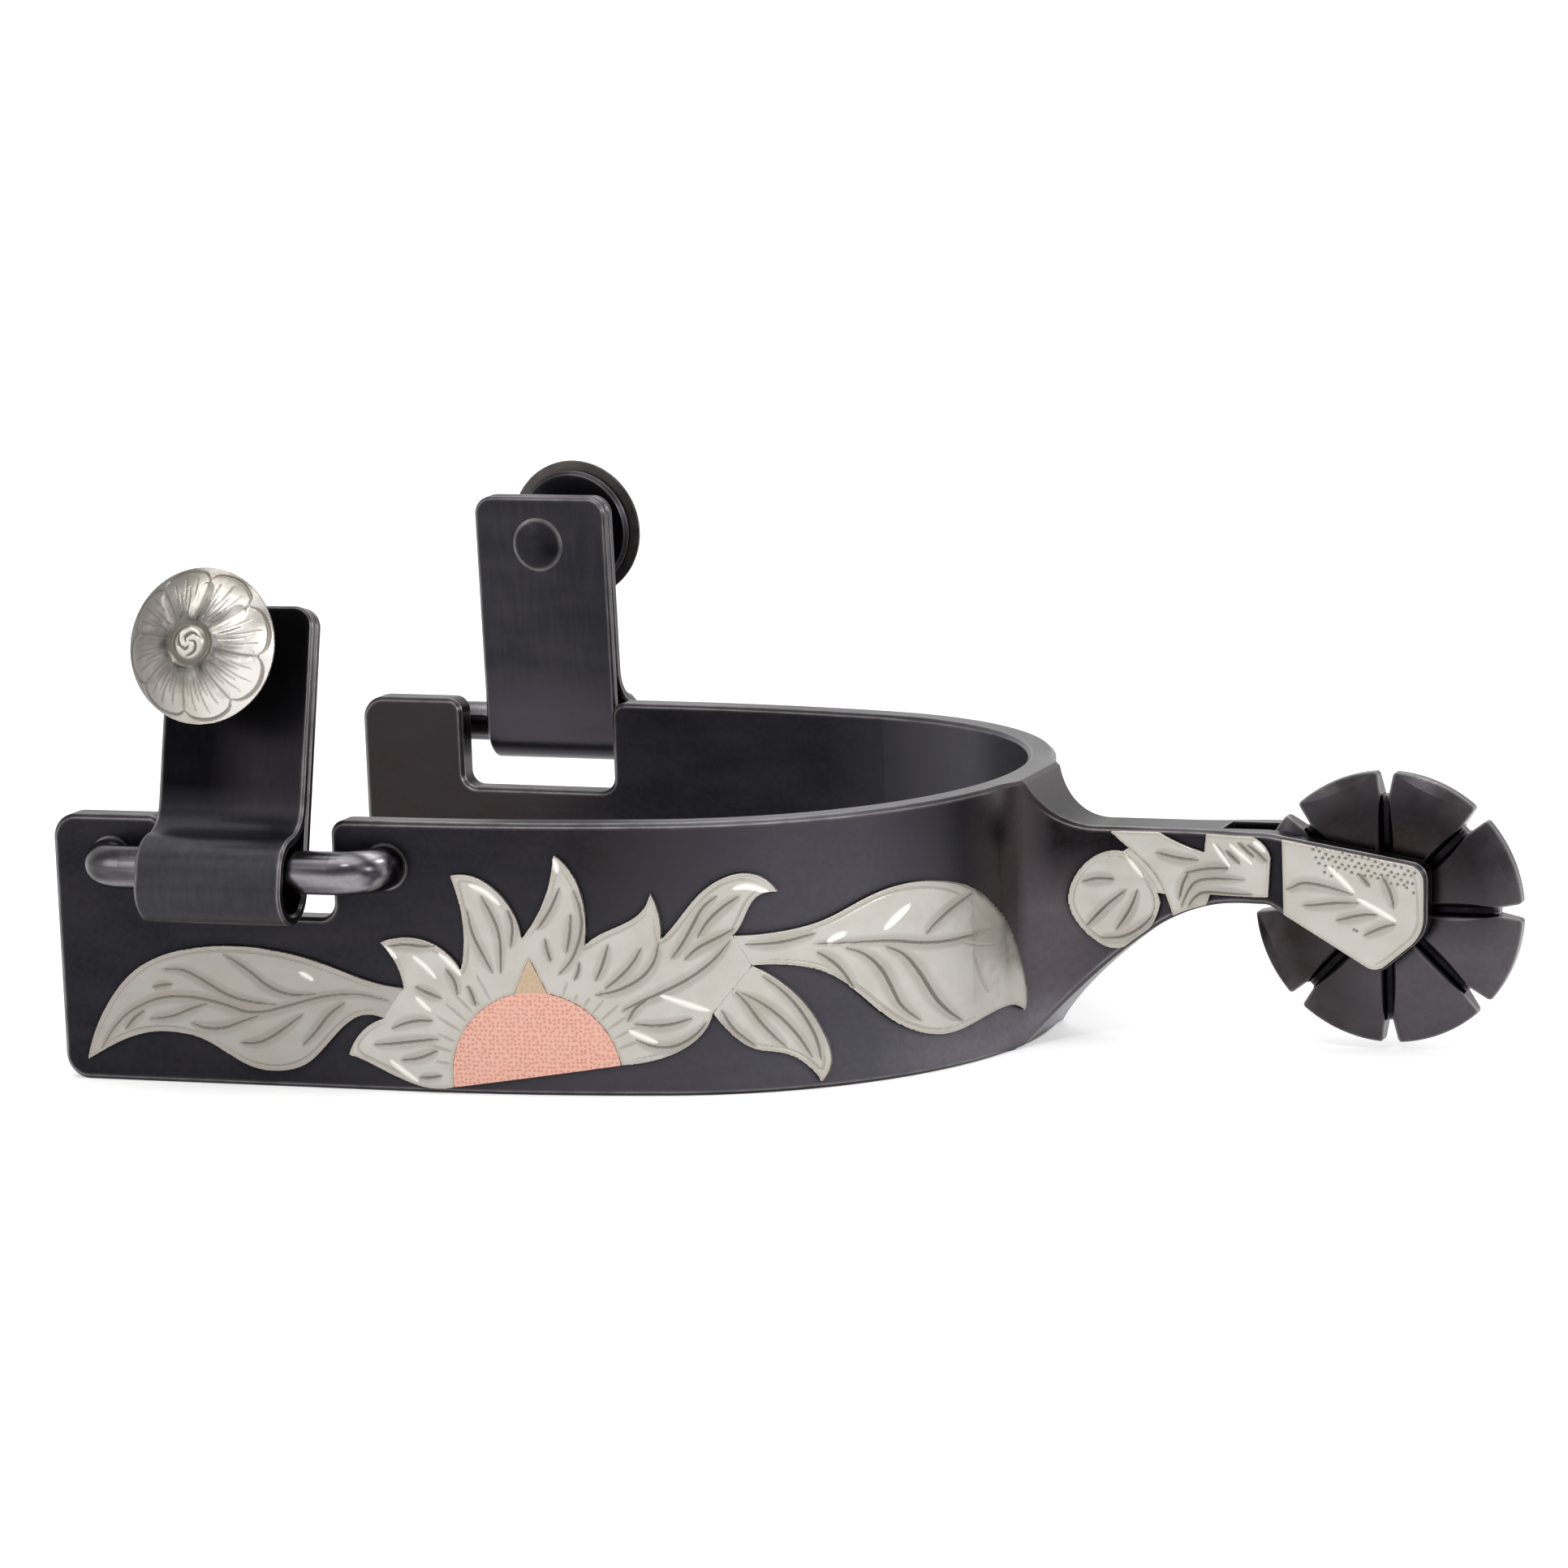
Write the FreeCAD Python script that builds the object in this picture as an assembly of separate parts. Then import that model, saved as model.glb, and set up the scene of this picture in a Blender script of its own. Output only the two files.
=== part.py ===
import FreeCAD, Part
import math
import os

# Western show spur: a U-shaped heel band that sits round the boot heel, a forked
# shank with a flower rowel, and a hinged strap button on each arm.
# Frame: +X runs back from the heel along the shank, -Y is the decorated outer side,
# +Z is up.  The origin is the middle of the band's bottom edge at the heel.
# All lengths are millimetres, all angles degrees.

# ---- heel band ----
BAND_HEIGHT = 32.0
BAND_THICK = 3.4
EDGE_BREAK = 0.45           # broken edges of the band and the shank
HEEL_RADIUS = 41.5          # outer face, round the back of the heel
HEEL_HALF_SWEEP = 77.5
SHOULDER_RADIUS = 165.0     # outer face, where the heel eases into the arms
ARM_FLARE = 1.5             # each arm opens outwards to the front
ARM_REACH = 106.0           # from the heel to the ends of the arms
ARM_CORNER_ROUND = 3.0
NOTCH_WIDTH = 21.4
NOTCH_DEPTH = 11.6
NOTCH_TO_END = 14.3
NOTCH_CORNER_ROUND = 1.8

# ---- shank and fork ----
SHANK_WIDTH = 6.6
SHANK_TOP = 26.2
SHANK_TOP_FILLET = 8.0
SHANK_PLAN_FILLET = 10.0
SHANK_UNDERSIDE = 17.7
UNDERSIDE_RADIUS = 22.0     # tighter arc under the shank
UNDERSIDE_SWEEP = 34.6
SPLAY_RADIUS = 72.0         # longer arc down to the foot of the heel
UNDERSIDE_LEVEL_AT = 28.5
SHANK_CREST_OUT = 0.4       # where the top fillet starts, beyond the band's outer face
EAR_THICK = 2.4
EAR_SWELL_FROM = 20.0
EAR_SWELL_TO = 31.0
EAR_TOP_DROP = 3.2
EAR_NOSE = 5.8              # ear beyond the pin, at its top corner
EAR_CHIN = 7.3              # ear below the pin
EAR_CHIN_BACK = 0.4         # chin in front of the pin
EAR_TUCK = 0.2              # back edge slopes in below the nose ...
EAR_TUCK_DROP = 2.3         # ... down to here, below the pin
EAR_BACK_ROUND = 4.5
EAR_ROUND = 2.0
EAR_TOP_BLEND = 8.0
EAR_ROOT_BLEND = 2.0
SLOT_END_GAP = 3.4          # between the rowel's rim and the closed end of the slot

# ---- rowel and pin ----
ROWEL_DIA = 32.1
ROWEL_THICK = 4.0
ROWEL_CENTRE_X = 44.4
ROWEL_CENTRE_Z = 17.1
ROWEL_SIDE_CLEARANCE = 0.3
PETAL_COUNT = 8
PETAL_DOME_RADIUS = 26.0    # of each petal's faces ...
PETAL_CROWN_AT = 8.6        # ... which are highest this far from the centre
RIM_THICK = 1.2
RIM_ROUND_WIDTH = 1.6       # how far in from the rim the faces are filed away
RIM_SHOULDER_THICK = 2.8
HUB_DIA = 9.6               # plain middle, where the grooves between the petals end
GROOVE_FLOOR_WIDTH = 0.7
GROOVE_ROUND = 1.5          # of the petals' shoulders, down to the floor
WEB_THICK = 1.2             # left between the floors of opposite grooves
NOTCH_FLOOR_WIDTH = 1.0     # each groove runs out through the rim in a notch
NOTCH_MOUTH_WIDTH = 1.9
NOTCH_RIM_DEPTH = 2.7
PETAL_CORNER_ROUND = 0.6
PIN_DIA = 4.0
PIN_CLEARANCE = 0.05
PIN_HEAD_DIA = 6.4
PIN_HEAD_HEIGHT = 0.9

# ---- hanger bars ----
BAR_DIA = 5.1
BAR_STANDOFF = 4.8          # bar centre line out from the band's outer face
BAR_LEG_SPACING = 35.0
BAR_BEND_RADIUS = 4.2
BAR_SEAT_DEPTH = 2.4

# ---- hangers ----
HANGER_WIDTH = 18.5
LEAF_THICK = 1.3
LEAF_SEAM = 0.12
LEAF_EDGE_BREAK = 0.28
KNUCKLE_CLEARANCE = 0.35
KNUCKLE_FOLD = 72.0
HANGER_CORNER_ROUND = 2.4

# ---- the two sides, bent and hung by hand, so not quite alike ----
# bar_drop: bar's centre line below the band's top; length: hanger above that line;
# slack: how much deeper than round the loop hangs; button_drop: button below the
# hanger's top; button_shift: from its middle line; lean: towards the boot, from
# upright; shift: along the bar.
OUTER_SIDE = {
    "bar_drop": 5.3, "length": 31.1, "slack": 2.1, "lean": 14.2, "shift": -1.1,
    "button_drop": 5.7, "button_shift": -0.2,
}
INNER_SIDE = {
    "bar_drop": 4.2, "length": 30.6, "slack": 0.4, "lean": 2.0, "shift": 0.4,
    "button_drop": 6.2, "button_shift": -0.4,
}

# ---- strap buttons ----
CAP_DIA = 18.2
BASE_DIA = 15.8
STRAP_GAP = 8.1             # between the hanger and the back of the button
BASE_THICK = 1.2
BASE_EDGE_BREAK = 0.5
CAP_RISE = 4.2
CAP_LIP = 0.35
NECK_DIA = 5.0
SPIGOT_DIA = 3.0
TAIL_DIA = 7.0
TAIL_HEIGHT = 0.8

# ---- overlays ----
OVERLAY_THICK = 0.55
OVERLAY_INSET = 0.25        # from the edges of the shank and the ear
EAR_LEAF_FROM = 33.0

# Overlay outlines on the outer side, as (X, Z) runs that meet at sharp corners.
LEFT_LEAF = [
    [(-102.8, 2.5), (-100.4, 8.4), (-95.3, 14.0), (-88.4, 16.4), (-80.0, 16.7),
     (-72.0, 15.1), (-65.0, 12.9), (-61.7, 12.5)],
    [(-61.7, 12.5), (-64.4, 8.8)],
    [(-64.4, 8.8), (-67.5, 8.9), (-71.2, 6.0), (-74.5, 3.0), (-78.5, 2.0), (-82.3, 2.7),
     (-86.9, 5.2), (-91.0, 6.2), (-95.8, 5.8), (-99.5, 4.3), (-102.8, 2.5)],
]
FLOWER = [
    [(-69.0, 4.3), (-67.4, 7.0), (-64.4, 8.8)],
    [(-64.4, 8.8), (-61.7, 12.5)],
    [(-61.7, 12.5), (-62.5, 15.2), (-64.4, 17.8)],
    [(-64.4, 17.8), (-61.4, 18.5), (-58.3, 18.0), (-54.5, 14.7)],
    [(-54.5, 14.7), (-54.0, 20.0), (-55.3, 25.9)],
    [(-55.3, 25.9), (-52.8, 25.9), (-49.6, 24.0), (-47.0, 18.6)],
    [(-47.0, 18.6), (-44.2, 23.0), (-42.8, 28.5)],
    [(-42.8, 28.5), (-40.5, 25.8), (-39.4, 21.5), (-39.6, 17.8)],
    [(-39.6, 17.8), (-36.4, 19.8), (-33.6, 21.2), (-31.8, 24.0)],
    [(-31.8, 24.0), (-30.9, 21.4), (-30.8, 18.5)],
    [(-30.8, 18.5), (-28.3, 21.4), (-25.2, 24.7), (-21.8, 26.0), (-18.1, 23.6)],
    [(-18.1, 23.6), (-20.6, 22.8), (-21.8, 20.4), (-22.9, 18.8)],
    [(-22.9, 18.8), (-21.0, 15.2)],
    [(-21.0, 15.2), (-25.3, 9.8)],
    [(-25.3, 9.8), (-26.3, 7.7), (-29.6, 5.2), (-35.9, 3.8)],
    [(-35.9, 3.8), (-55.9, 0.9)],
    [(-55.9, 0.9), (-60.2, 0.9), (-64.0, 2.3), (-69.0, 4.3)],
]
RIGHT_LEAF = [
    [(-22.9, 18.8), (-18.5, 18.9), (-13.5, 20.0), (-9.0, 22.3), (-5.0, 22.9), (-1.9, 21.4),
     (-0.2, 18.5), (1.0, 14.0), (1.9, 8.5), (1.9, 4.6)],
    [(1.9, 4.6), (0.6, 5.8), (-1.1, 5.1), (-3.2, 4.4), (-6.0, 5.5), (-10.1, 10.0),
     (-14.0, 13.9), (-17.5, 15.0), (-21.0, 15.2)],
    [(-21.0, 15.2), (-22.9, 18.8)],
]
LOWER_LEAF = [
    [(-21.0, 15.2), (-18.5, 13.4), (-15.8, 10.2), (-14.0, 6.2), (-13.5, 3.3), (-14.5, 0.9)],
    [(-14.5, 0.9), (-15.6, 2.8), (-17.9, 4.6), (-21.0, 5.4), (-23.5, 7.4), (-25.3, 9.8)],
    [(-25.3, 9.8), (-21.0, 15.2)],
]
FLOWER_CENTRE = [(-55.9, 0.9), (-46.2, 12.3), (-35.9, 3.8)]      # an arc on a straight foot
FLOWER_TIP = [
    [(-48.6, 11.0), (-46.2, 16.4)],
    [(-46.2, 16.4), (-43.6, 11.0)],
    [(-43.6, 11.0), (-48.6, 11.0)],
]
SHANK_LEAF = [
    [(13.2, 23.4), (9.6, 22.7), (7.4, 20.6), (6.4, 17.2), (7.4, 14.6), (9.2, 12.7),
     (11.5, 11.7), (14.3, 12.6), (16.4, 14.6), (17.6, 17.4)],
    [(17.6, 17.4), (16.2, 20.6), (13.2, 23.4)],
]
SHANK_SCROLL = [
    [(11.6, 25.7), (14.6, 25.8), (17.6, 25.8)],
    [(17.6, 25.8), (20.0, 24.6), (23.2, 23.6)],
    [(23.2, 23.6), (23.5, 25.8)],
    [(23.5, 25.8), (29.3, 25.8)],
    [(29.3, 25.8), (30.8, 24.9), (31.6, 23.4)],
    [(31.6, 23.4), (31.2, 18.7)],
    [(31.2, 18.7), (23.8, 18.6)],
    [(23.8, 18.6), (22.9, 16.9), (19.2, 15.4)],
    [(19.2, 15.4), (18.6, 17.4), (16.9, 20.9), (14.2, 23.5), (11.6, 25.7)],
]

UP = FreeCAD.Vector(0, 0, 1)
OUTWARDS = FreeCAD.Vector(0, -1, 0)
BACKWARDS = FreeCAD.Vector(1, 0, 0)
ORIGIN = FreeCAD.Vector(0, 0, 0)
FAR = 200.0                 # longer than the spur, for cutting tools
TOUCHING = 1e-6             # points closer than this are one point
SHARP_FROM = 30.0           # faces that turn by more than this meet at an edge
CRUMB_VOLUME = 1e-3         # a cut's leavings, not a piece

heel_centre_x = BAND_THICK / 2 - HEEL_RADIUS
fork_width = ROWEL_THICK + 2 * (ROWEL_SIDE_CLEARANCE + EAR_THICK)
slot_width = ROWEL_THICK + 2 * ROWEL_SIDE_CLEARANCE
notch_centre_x = -ARM_REACH + NOTCH_TO_END + NOTCH_WIDTH / 2
knuckle_radius = BAR_DIA / 2 + KNUCKLE_CLEARANCE
leaf_mid = knuckle_radius + LEAF_THICK / 2
front_leaf_face = knuckle_radius - LEAF_SEAM - LEAF_THICK


def vec(x, y, z=0.0):
    return FreeCAD.Vector(x, y, z)


def turn(angle):
    """Unit vector in the XY plane at an angle from +X."""
    return vec(math.cos(math.radians(angle)), math.sin(math.radians(angle)))


def line(a, b):
    return Part.LineSegment(a, b).toShape()


def arc(centre, radius, start, end):
    """Arc in the XY plane from one angle to another, either way round."""
    points = [centre + turn(a) * radius for a in (start, (start + end) / 2, end)]
    return Part.Arc(*points).toShape()


def face_of(edges):
    return Part.Face(Part.Wire(edges))


def fillet_polygon(corners, radii):
    """Polygon with each corner rounded to its own radius."""
    edges, joints = [], []
    count = len(corners)
    for i, (corner, radius) in enumerate(zip(corners, radii)):
        to_last = (corners[i - 1] - corner).normalize()
        to_next = (corners[(i + 1) % count] - corner).normalize()
        half = to_last.getAngle(to_next) / 2
        reach = radius / math.tan(half)
        middle = corner + (to_last + to_next).normalize() * (radius / math.sin(half) - radius)
        joints.append((corner + to_last * reach, middle, corner + to_next * reach))
    for i, (start, middle, end) in enumerate(joints):
        if start.distanceToPoint(end) > TOUCHING:
            edges.append(Part.Arc(start, middle, end).toShape())
        following = joints[(i + 1) % count][0]
        if end.distanceToPoint(following) > TOUCHING:
            edges.append(line(end, following))
    return face_of(edges)


def upright(face):
    """Turn a face drawn in XY, as (X, Z), into the XZ plane."""
    turned = face.copy()
    turned.rotate(ORIGIN, BACKWARDS, 90)
    return turned


def slab(face, y_from, y_to):
    """Extrude an XZ face between two values of Y."""
    moved = face.copy()
    moved.translate(vec(0, y_from))
    return moved.extrude(vec(0, y_to - y_from))


def cylinder(radius, y_from, y_to, x=0.0, z=0.0):
    """Cylinder along Y."""
    return Part.makeCylinder(radius, y_to - y_from, vec(x, y_from, z), vec(0, 1))


def mirrored(shape):
    return shape.mirror(ORIGIN, vec(0, 1))


def is_sharp(shape, edge):
    """Whether the two faces at an edge meet at a corner rather than run on smoothly."""
    faces = shape.ancestorsOfType(edge, Part.Face)
    if len(faces) != 2:
        return False
    middle = edge.valueAt((edge.FirstParameter + edge.LastParameter) / 2)
    normals = [face.normalAt(*face.Surface.parameter(middle)) for face in faces]
    return math.degrees(normals[0].getAngle(normals[1])) > SHARP_FROM


def broken_edges(shape, size, wanted=lambda edge: True):
    """File a small flat on the sharp edges that pass a test."""
    edges = [edge for edge in shape.Edges if is_sharp(shape, edge) and wanted(edge)]
    return shape.makeChamfer(size, edges)


# ---- plan of the band ----

def arm_end(inset):
    """Point where an arm's face, set in from the outer one, meets the arm's end."""
    shoulder = shoulder_centre()
    start = shoulder + turn(90 - ARM_FLARE) * (SHOULDER_RADIUS - inset)
    run = (start.x + ARM_REACH) / math.cos(math.radians(ARM_FLARE))
    return start, start - turn(-ARM_FLARE) * run


def shoulder_centre():
    return vec(heel_centre_x, 0) - turn(HEEL_HALF_SWEEP) * (SHOULDER_RADIUS - HEEL_RADIUS)


def band_side(inset):
    """Edges of one face of the band, from the +Y arm's end round to the -Y arm's end."""
    heel = vec(heel_centre_x, 0)
    shoulder = shoulder_centre()
    start, end = arm_end(inset)
    half = [
        line(end, start),
        arc(shoulder, SHOULDER_RADIUS - inset, 90 - ARM_FLARE, HEEL_HALF_SWEEP),
        arc(heel, HEEL_RADIUS - inset, HEEL_HALF_SWEEP, 0),
    ]
    return half + [mirrored(edge) for edge in reversed(half)]


def ring_plan(inset_out, inset_in):
    """Plan of the U between two insets from the band's outer face."""
    outer = band_side(inset_out)
    inner = band_side(inset_in)
    out_end, in_end = arm_end(inset_out)[1], arm_end(inset_in)[1]
    caps = [line(out_end, in_end), mirrored(line(out_end, in_end))]
    return face_of(Part.sortEdges(outer + inner + caps)[0])


# ---- spur frame: band and shank ----

def shank_plan(grow):
    """Plan of the shank with its fillets into the heel, grown by an overlay's thickness."""
    heel = vec(heel_centre_x, 0)
    fillet = SHANK_PLAN_FILLET - grow
    heel_radius = HEEL_RADIUS + grow
    side = SHANK_WIDTH / 2 + grow
    fork_side = fork_width / 2 + grow
    centre_y = side + fillet
    centre_x = heel_centre_x + math.sqrt((heel_radius + fillet) ** 2 - centre_y ** 2)
    meets = math.degrees(math.asin(centre_y / (heel_radius + fillet)))
    tip_x = ROWEL_CENTRE_X + EAR_NOSE + EAR_ROUND
    half_run, half_rise = (EAR_SWELL_TO - EAR_SWELL_FROM) / 2, (fork_side - side) / 2
    bend = (half_run ** 2 + half_rise ** 2) / (2 * half_rise)
    sweep = math.degrees(math.asin(half_run / bend))
    root = HEEL_RADIUS - BAND_THICK / 2
    half = [
        line(heel + turn(meets) * root, heel + turn(meets) * heel_radius),
        arc(vec(centre_x, centre_y), fillet, 180 + meets, 270),
        line(vec(centre_x, side), vec(EAR_SWELL_FROM, side)),
        arc(vec(EAR_SWELL_FROM, side + bend), bend, 270, 270 + sweep),
        arc(vec(EAR_SWELL_TO, fork_side - bend), bend, 90 + sweep, 90),
        line(vec(EAR_SWELL_TO, fork_side), vec(tip_x, fork_side)),
    ]
    ends = [arc(heel, root, meets, -meets), line(vec(tip_x, fork_side), vec(tip_x, -fork_side))]
    edges = half + [mirrored(edge) for edge in half] + ends
    return face_of(Part.sortEdges(edges)[0])


def underside_points():
    """Centres of the two arcs under the shank, as (X, Z), and the angle where they join."""
    low = vec(UNDERSIDE_LEVEL_AT, SHANK_UNDERSIDE - UNDERSIDE_RADIUS)
    join_angle = 90 + UNDERSIDE_SWEEP
    splay = low - turn(join_angle) * (SPLAY_RADIUS - UNDERSIDE_RADIUS)
    return low, join_angle, splay


def shank_side(inset):
    """Side view of the shank and its ears, set in from the edges, as an XZ face."""
    low, join_angle, splay = underside_points()
    top = SHANK_TOP - inset
    fillet = SHANK_TOP_FILLET + inset
    fillet_x = BAND_THICK / 2 + SHANK_CREST_OUT + math.sqrt(
        SHANK_TOP_FILLET ** 2 - (SHANK_TOP + SHANK_TOP_FILLET - BAND_HEIGHT) ** 2)
    centre_z = SHANK_TOP + SHANK_TOP_FILLET
    crest = math.degrees(math.asin((BAND_HEIGHT - centre_z) / fillet))
    under = SPLAY_RADIUS + inset
    tight = UNDERSIDE_RADIUS + inset
    foot_angle = 180 + math.degrees(math.asin(splay.y / under))
    foot = splay + turn(foot_angle) * under
    level_top = vec(UNDERSIDE_LEVEL_AT, top)
    root_x = -BAND_THICK
    crest_point = vec(fillet_x, centre_z) + turn(180 - crest) * fillet
    edges = [
        line(vec(root_x, 0), vec(root_x, BAND_HEIGHT)),
        line(vec(root_x, BAND_HEIGHT), crest_point),
        arc(vec(fillet_x, centre_z), fillet, 180 - crest, 270),
        line(vec(fillet_x, top), level_top),
        line(level_top, low + turn(90) * tight),
        arc(low, tight, 90, join_angle),
        arc(splay, under, join_angle, foot_angle),
        line(foot, vec(root_x, 0)),
    ]
    return upright(face_of(edges))


def ear_side(inset):
    """Side view of one ear and its root as an XZ face."""
    nose_x, top = ROWEL_CENTRE_X + EAR_NOSE - inset, SHANK_TOP - inset
    root_low = SHANK_UNDERSIDE + inset
    corners = [
        vec(UNDERSIDE_LEVEL_AT, top),
        vec(EAR_SWELL_TO, top),
        vec(nose_x, top - EAR_TOP_DROP),
        vec(nose_x - EAR_TUCK, ROWEL_CENTRE_Z - EAR_TUCK_DROP),
        vec(ROWEL_CENTRE_X - EAR_CHIN_BACK, ROWEL_CENTRE_Z - EAR_CHIN + math.sqrt(2) * inset),
        vec(EAR_SWELL_TO, root_low),
        vec(UNDERSIDE_LEVEL_AT, root_low),
    ]
    radii = [0, EAR_TOP_BLEND, EAR_ROUND, EAR_BACK_ROUND, EAR_ROUND, EAR_ROOT_BLEND, 0]
    return upright(fillet_polygon(corners, radii))


def shank_profile(inset):
    """Shank and ears in side view, as a slab wider than the shank."""
    return slab(shank_side(inset), -FAR, FAR).fuse(slab(ear_side(inset), -FAR, FAR)).removeSplitter()


def band_profile():
    """Side view of the arms, with rounded end corners and notch lips, as an XZ face."""
    left, right = -ARM_REACH, BAND_THICK
    floor = BAND_HEIGHT - NOTCH_DEPTH
    near, far = notch_centre_x - NOTCH_WIDTH / 2, notch_centre_x + NOTCH_WIDTH / 2
    corners = [vec(left, 0), vec(right, 0), vec(right, BAND_HEIGHT), vec(far, BAND_HEIGHT),
               vec(far, floor), vec(near, floor), vec(near, BAND_HEIGHT), vec(left, BAND_HEIGHT)]
    corner, lip = ARM_CORNER_ROUND, NOTCH_CORNER_ROUND
    return upright(fillet_polygon(corners, [corner, 0, 0, lip, lip, lip, lip, corner]))


def on_arm(shape, side, shift=0.0):
    """Place a shape built round a bar's centre on its own arm."""
    centre = arm_face_point(notch_centre_x) + turn(90 - ARM_FLARE) * BAR_STANDOFF
    placed = shape.copy()
    placed.translate(vec(shift, 0))
    placed.rotate(ORIGIN, UP, ARM_FLARE)
    placed.translate(vec(centre.x, -centre.y, BAND_HEIGHT - side["bar_drop"]))
    return mirrored(placed) if side is INNER_SIDE else placed


def arm_face_point(x):
    """Point on the +Y arm's outer face at a value of X."""
    start, end = arm_end(0)
    share = (x - start.x) / (end.x - start.x)
    return start + (end - start) * share


def bar_seats():
    """Blind holes for the four feet of the hanger bars."""
    half = BAR_LEG_SPACING / 2
    bottom = BAR_STANDOFF + BAR_SEAT_DEPTH
    top = BAR_STANDOFF - BAR_SEAT_DEPTH
    feet = [cylinder(BAR_DIA / 2, top, bottom, x) for x in (-half, half)]
    return [on_arm(foot, side) for foot in feet for side in (OUTER_SIDE, INNER_SIDE)]


def spur_blank():
    """Band and shank before the fork slot and the bar seats are cut."""
    band = ring_plan(0, BAND_THICK).extrude(vec(0, 0, BAND_HEIGHT))
    band = broken_edges(band.common(slab(band_profile(), -FAR, FAR)), EDGE_BREAK)
    plan = shank_plan(0).extrude(vec(0, 0, BAND_HEIGHT))
    shank = plan.common(shank_profile(0)).removeSplitter()
    shank = broken_edges(shank, EDGE_BREAK, lambda edge: edge.BoundBox.XMax > BAND_THICK / 4)
    return band, shank.cut(band)


def make_heel_band(blank):
    band = blank
    for seat in bar_seats():
        band = band.cut(seat)
    return band


def make_shank(blank):
    slot_from = ROWEL_CENTRE_X - ROWEL_DIA / 2 - SLOT_END_GAP
    slot = Part.makeBox(FAR, slot_width, FAR, vec(slot_from, -slot_width / 2, -FAR / 2))
    hole = cylinder(PIN_DIA / 2, -FAR, FAR, ROWEL_CENTRE_X, ROWEL_CENTRE_Z)
    return blank.cut(slot).cut(hole)


# ---- rowel ----

def rowel_disc():
    """Turned disc: flat to the shoulder, then filed away to a thin rim."""
    radius, half = ROWEL_DIA / 2, ROWEL_THICK / 2
    shoulder = radius - RIM_ROUND_WIDTH
    upper = [vec(0, half), vec(shoulder, half), vec(shoulder, RIM_SHOULDER_THICK / 2),
             vec(radius, RIM_THICK / 2)]
    lower = [vec(point.x, -point.y) for point in reversed(upper)]
    section = Part.Face(Part.makePolygon(upper + lower + upper[:1]))
    return section.revolve(ORIGIN, vec(0, 1), 360)


def domed_petal(disc):
    """The disc's sector along +X, domed on both faces."""
    half_sector = 180.0 / PETAL_COUNT
    edges = [vec(0, 0), turn(-half_sector) * ROWEL_DIA, turn(half_sector) * ROWEL_DIA]
    sector = slab(upright(Part.Face(Part.makePolygon(edges + edges[:1]))), -ROWEL_THICK, ROWEL_THICK)
    petal = disc.common(sector)
    for side in (-1, 1):
        centre = vec(PETAL_CROWN_AT, side * (ROWEL_THICK / 2 - PETAL_DOME_RADIUS))
        petal = petal.common(Part.makeSphere(PETAL_DOME_RADIUS, centre))
    return petal


def petal_groove():
    """Groove along +X in the rowel's +Y face, its section flaring to the petals' shoulders."""
    half, floor = GROOVE_FLOOR_WIDTH / 2, WEB_THICK / 2
    left, right = -half - GROOVE_ROUND, half + GROOVE_ROUND
    top = floor + GROOVE_ROUND
    section = face_of([
        line(vec(-half, floor), vec(half, floor)),
        arc(vec(right, floor), GROOVE_ROUND, 180, 90),
        line(vec(right, top), vec(left, top)),
        arc(vec(left, floor), GROOVE_ROUND, 90, 0),
    ])
    section.rotate(ORIGIN, vec(0, 1), 90)
    section.translate(vec(HUB_DIA / 2, 0))
    return section.extrude(vec(ROWEL_DIA, 0))


def petal_notch():
    """Notch through the rim at the end of a groove, rounding the petals' corners."""
    radius = ROWEL_DIA / 2
    floor, beyond = radius - NOTCH_RIM_DEPTH, radius + PETAL_CORNER_ROUND
    half_floor, half_mouth = NOTCH_FLOOR_WIDTH / 2, NOTCH_MOUTH_WIDTH / 2
    wide = half_mouth + 2 * PETAL_CORNER_ROUND
    half = [vec(floor, half_floor), vec(radius, half_mouth), vec(radius, wide), vec(beyond, wide)]
    radii = [0, PETAL_CORNER_ROUND, 0, 0]
    corners = half + [vec(point.x, -point.y) for point in reversed(half)]
    plan = fillet_polygon(corners, radii + radii[::-1])
    return slab(upright(plan), -ROWEL_THICK, ROWEL_THICK)


def round_the_wheel(shape, index):
    turned = shape.copy()
    turned.rotate(ORIGIN, vec(0, 1), index * 360.0 / PETAL_COUNT)
    return turned


def make_rowel():
    """Eight domed petals round a plain hub, parted as with a round-shouldered file."""
    petal = domed_petal(rowel_disc())
    groove, notch = petal_groove(), petal_notch()
    wheel = cylinder(HUB_DIA / 2, -ROWEL_THICK / 2, ROWEL_THICK / 2)
    for index in range(PETAL_COUNT):
        wheel = wheel.fuse(round_the_wheel(petal, index + 0.5))
    for index in range(PETAL_COUNT):
        for cutter in (groove, mirrored(groove), notch):
            wheel = wheel.cut(round_the_wheel(cutter, index))
    bore = cylinder(PIN_DIA / 2 + PIN_CLEARANCE, -ROWEL_THICK, ROWEL_THICK)
    wheel = wheel.cut(bore).removeSplitter()
    wheel.translate(vec(ROWEL_CENTRE_X, 0, ROWEL_CENTRE_Z))
    return wheel


def domed_head(dia, height):
    """Peened head: a spherical cap on the XZ plane, rising along +Y from Y = 0."""
    ball = ((dia / 2) ** 2 + height ** 2) / (2 * height)
    sphere = Part.makeSphere(ball, vec(0, height - ball, 0))
    return sphere.common(cylinder(dia / 2, 0, 2 * height))


def make_rowel_pin():
    half = fork_width / 2
    pin = cylinder(PIN_DIA / 2, -half, half)
    head = domed_head(PIN_HEAD_DIA, PIN_HEAD_HEIGHT)
    head.translate(vec(0, half))
    pin = pin.fuse(head).removeSplitter()
    pin.translate(vec(ROWEL_CENTRE_X, 0, ROWEL_CENTRE_Z))
    return pin


# ---- hanger bars, hangers and buttons, built round the bar's centre line ----
# Local frame: +X along the bar to the heel, +Y towards the boot, +Z up.

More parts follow.
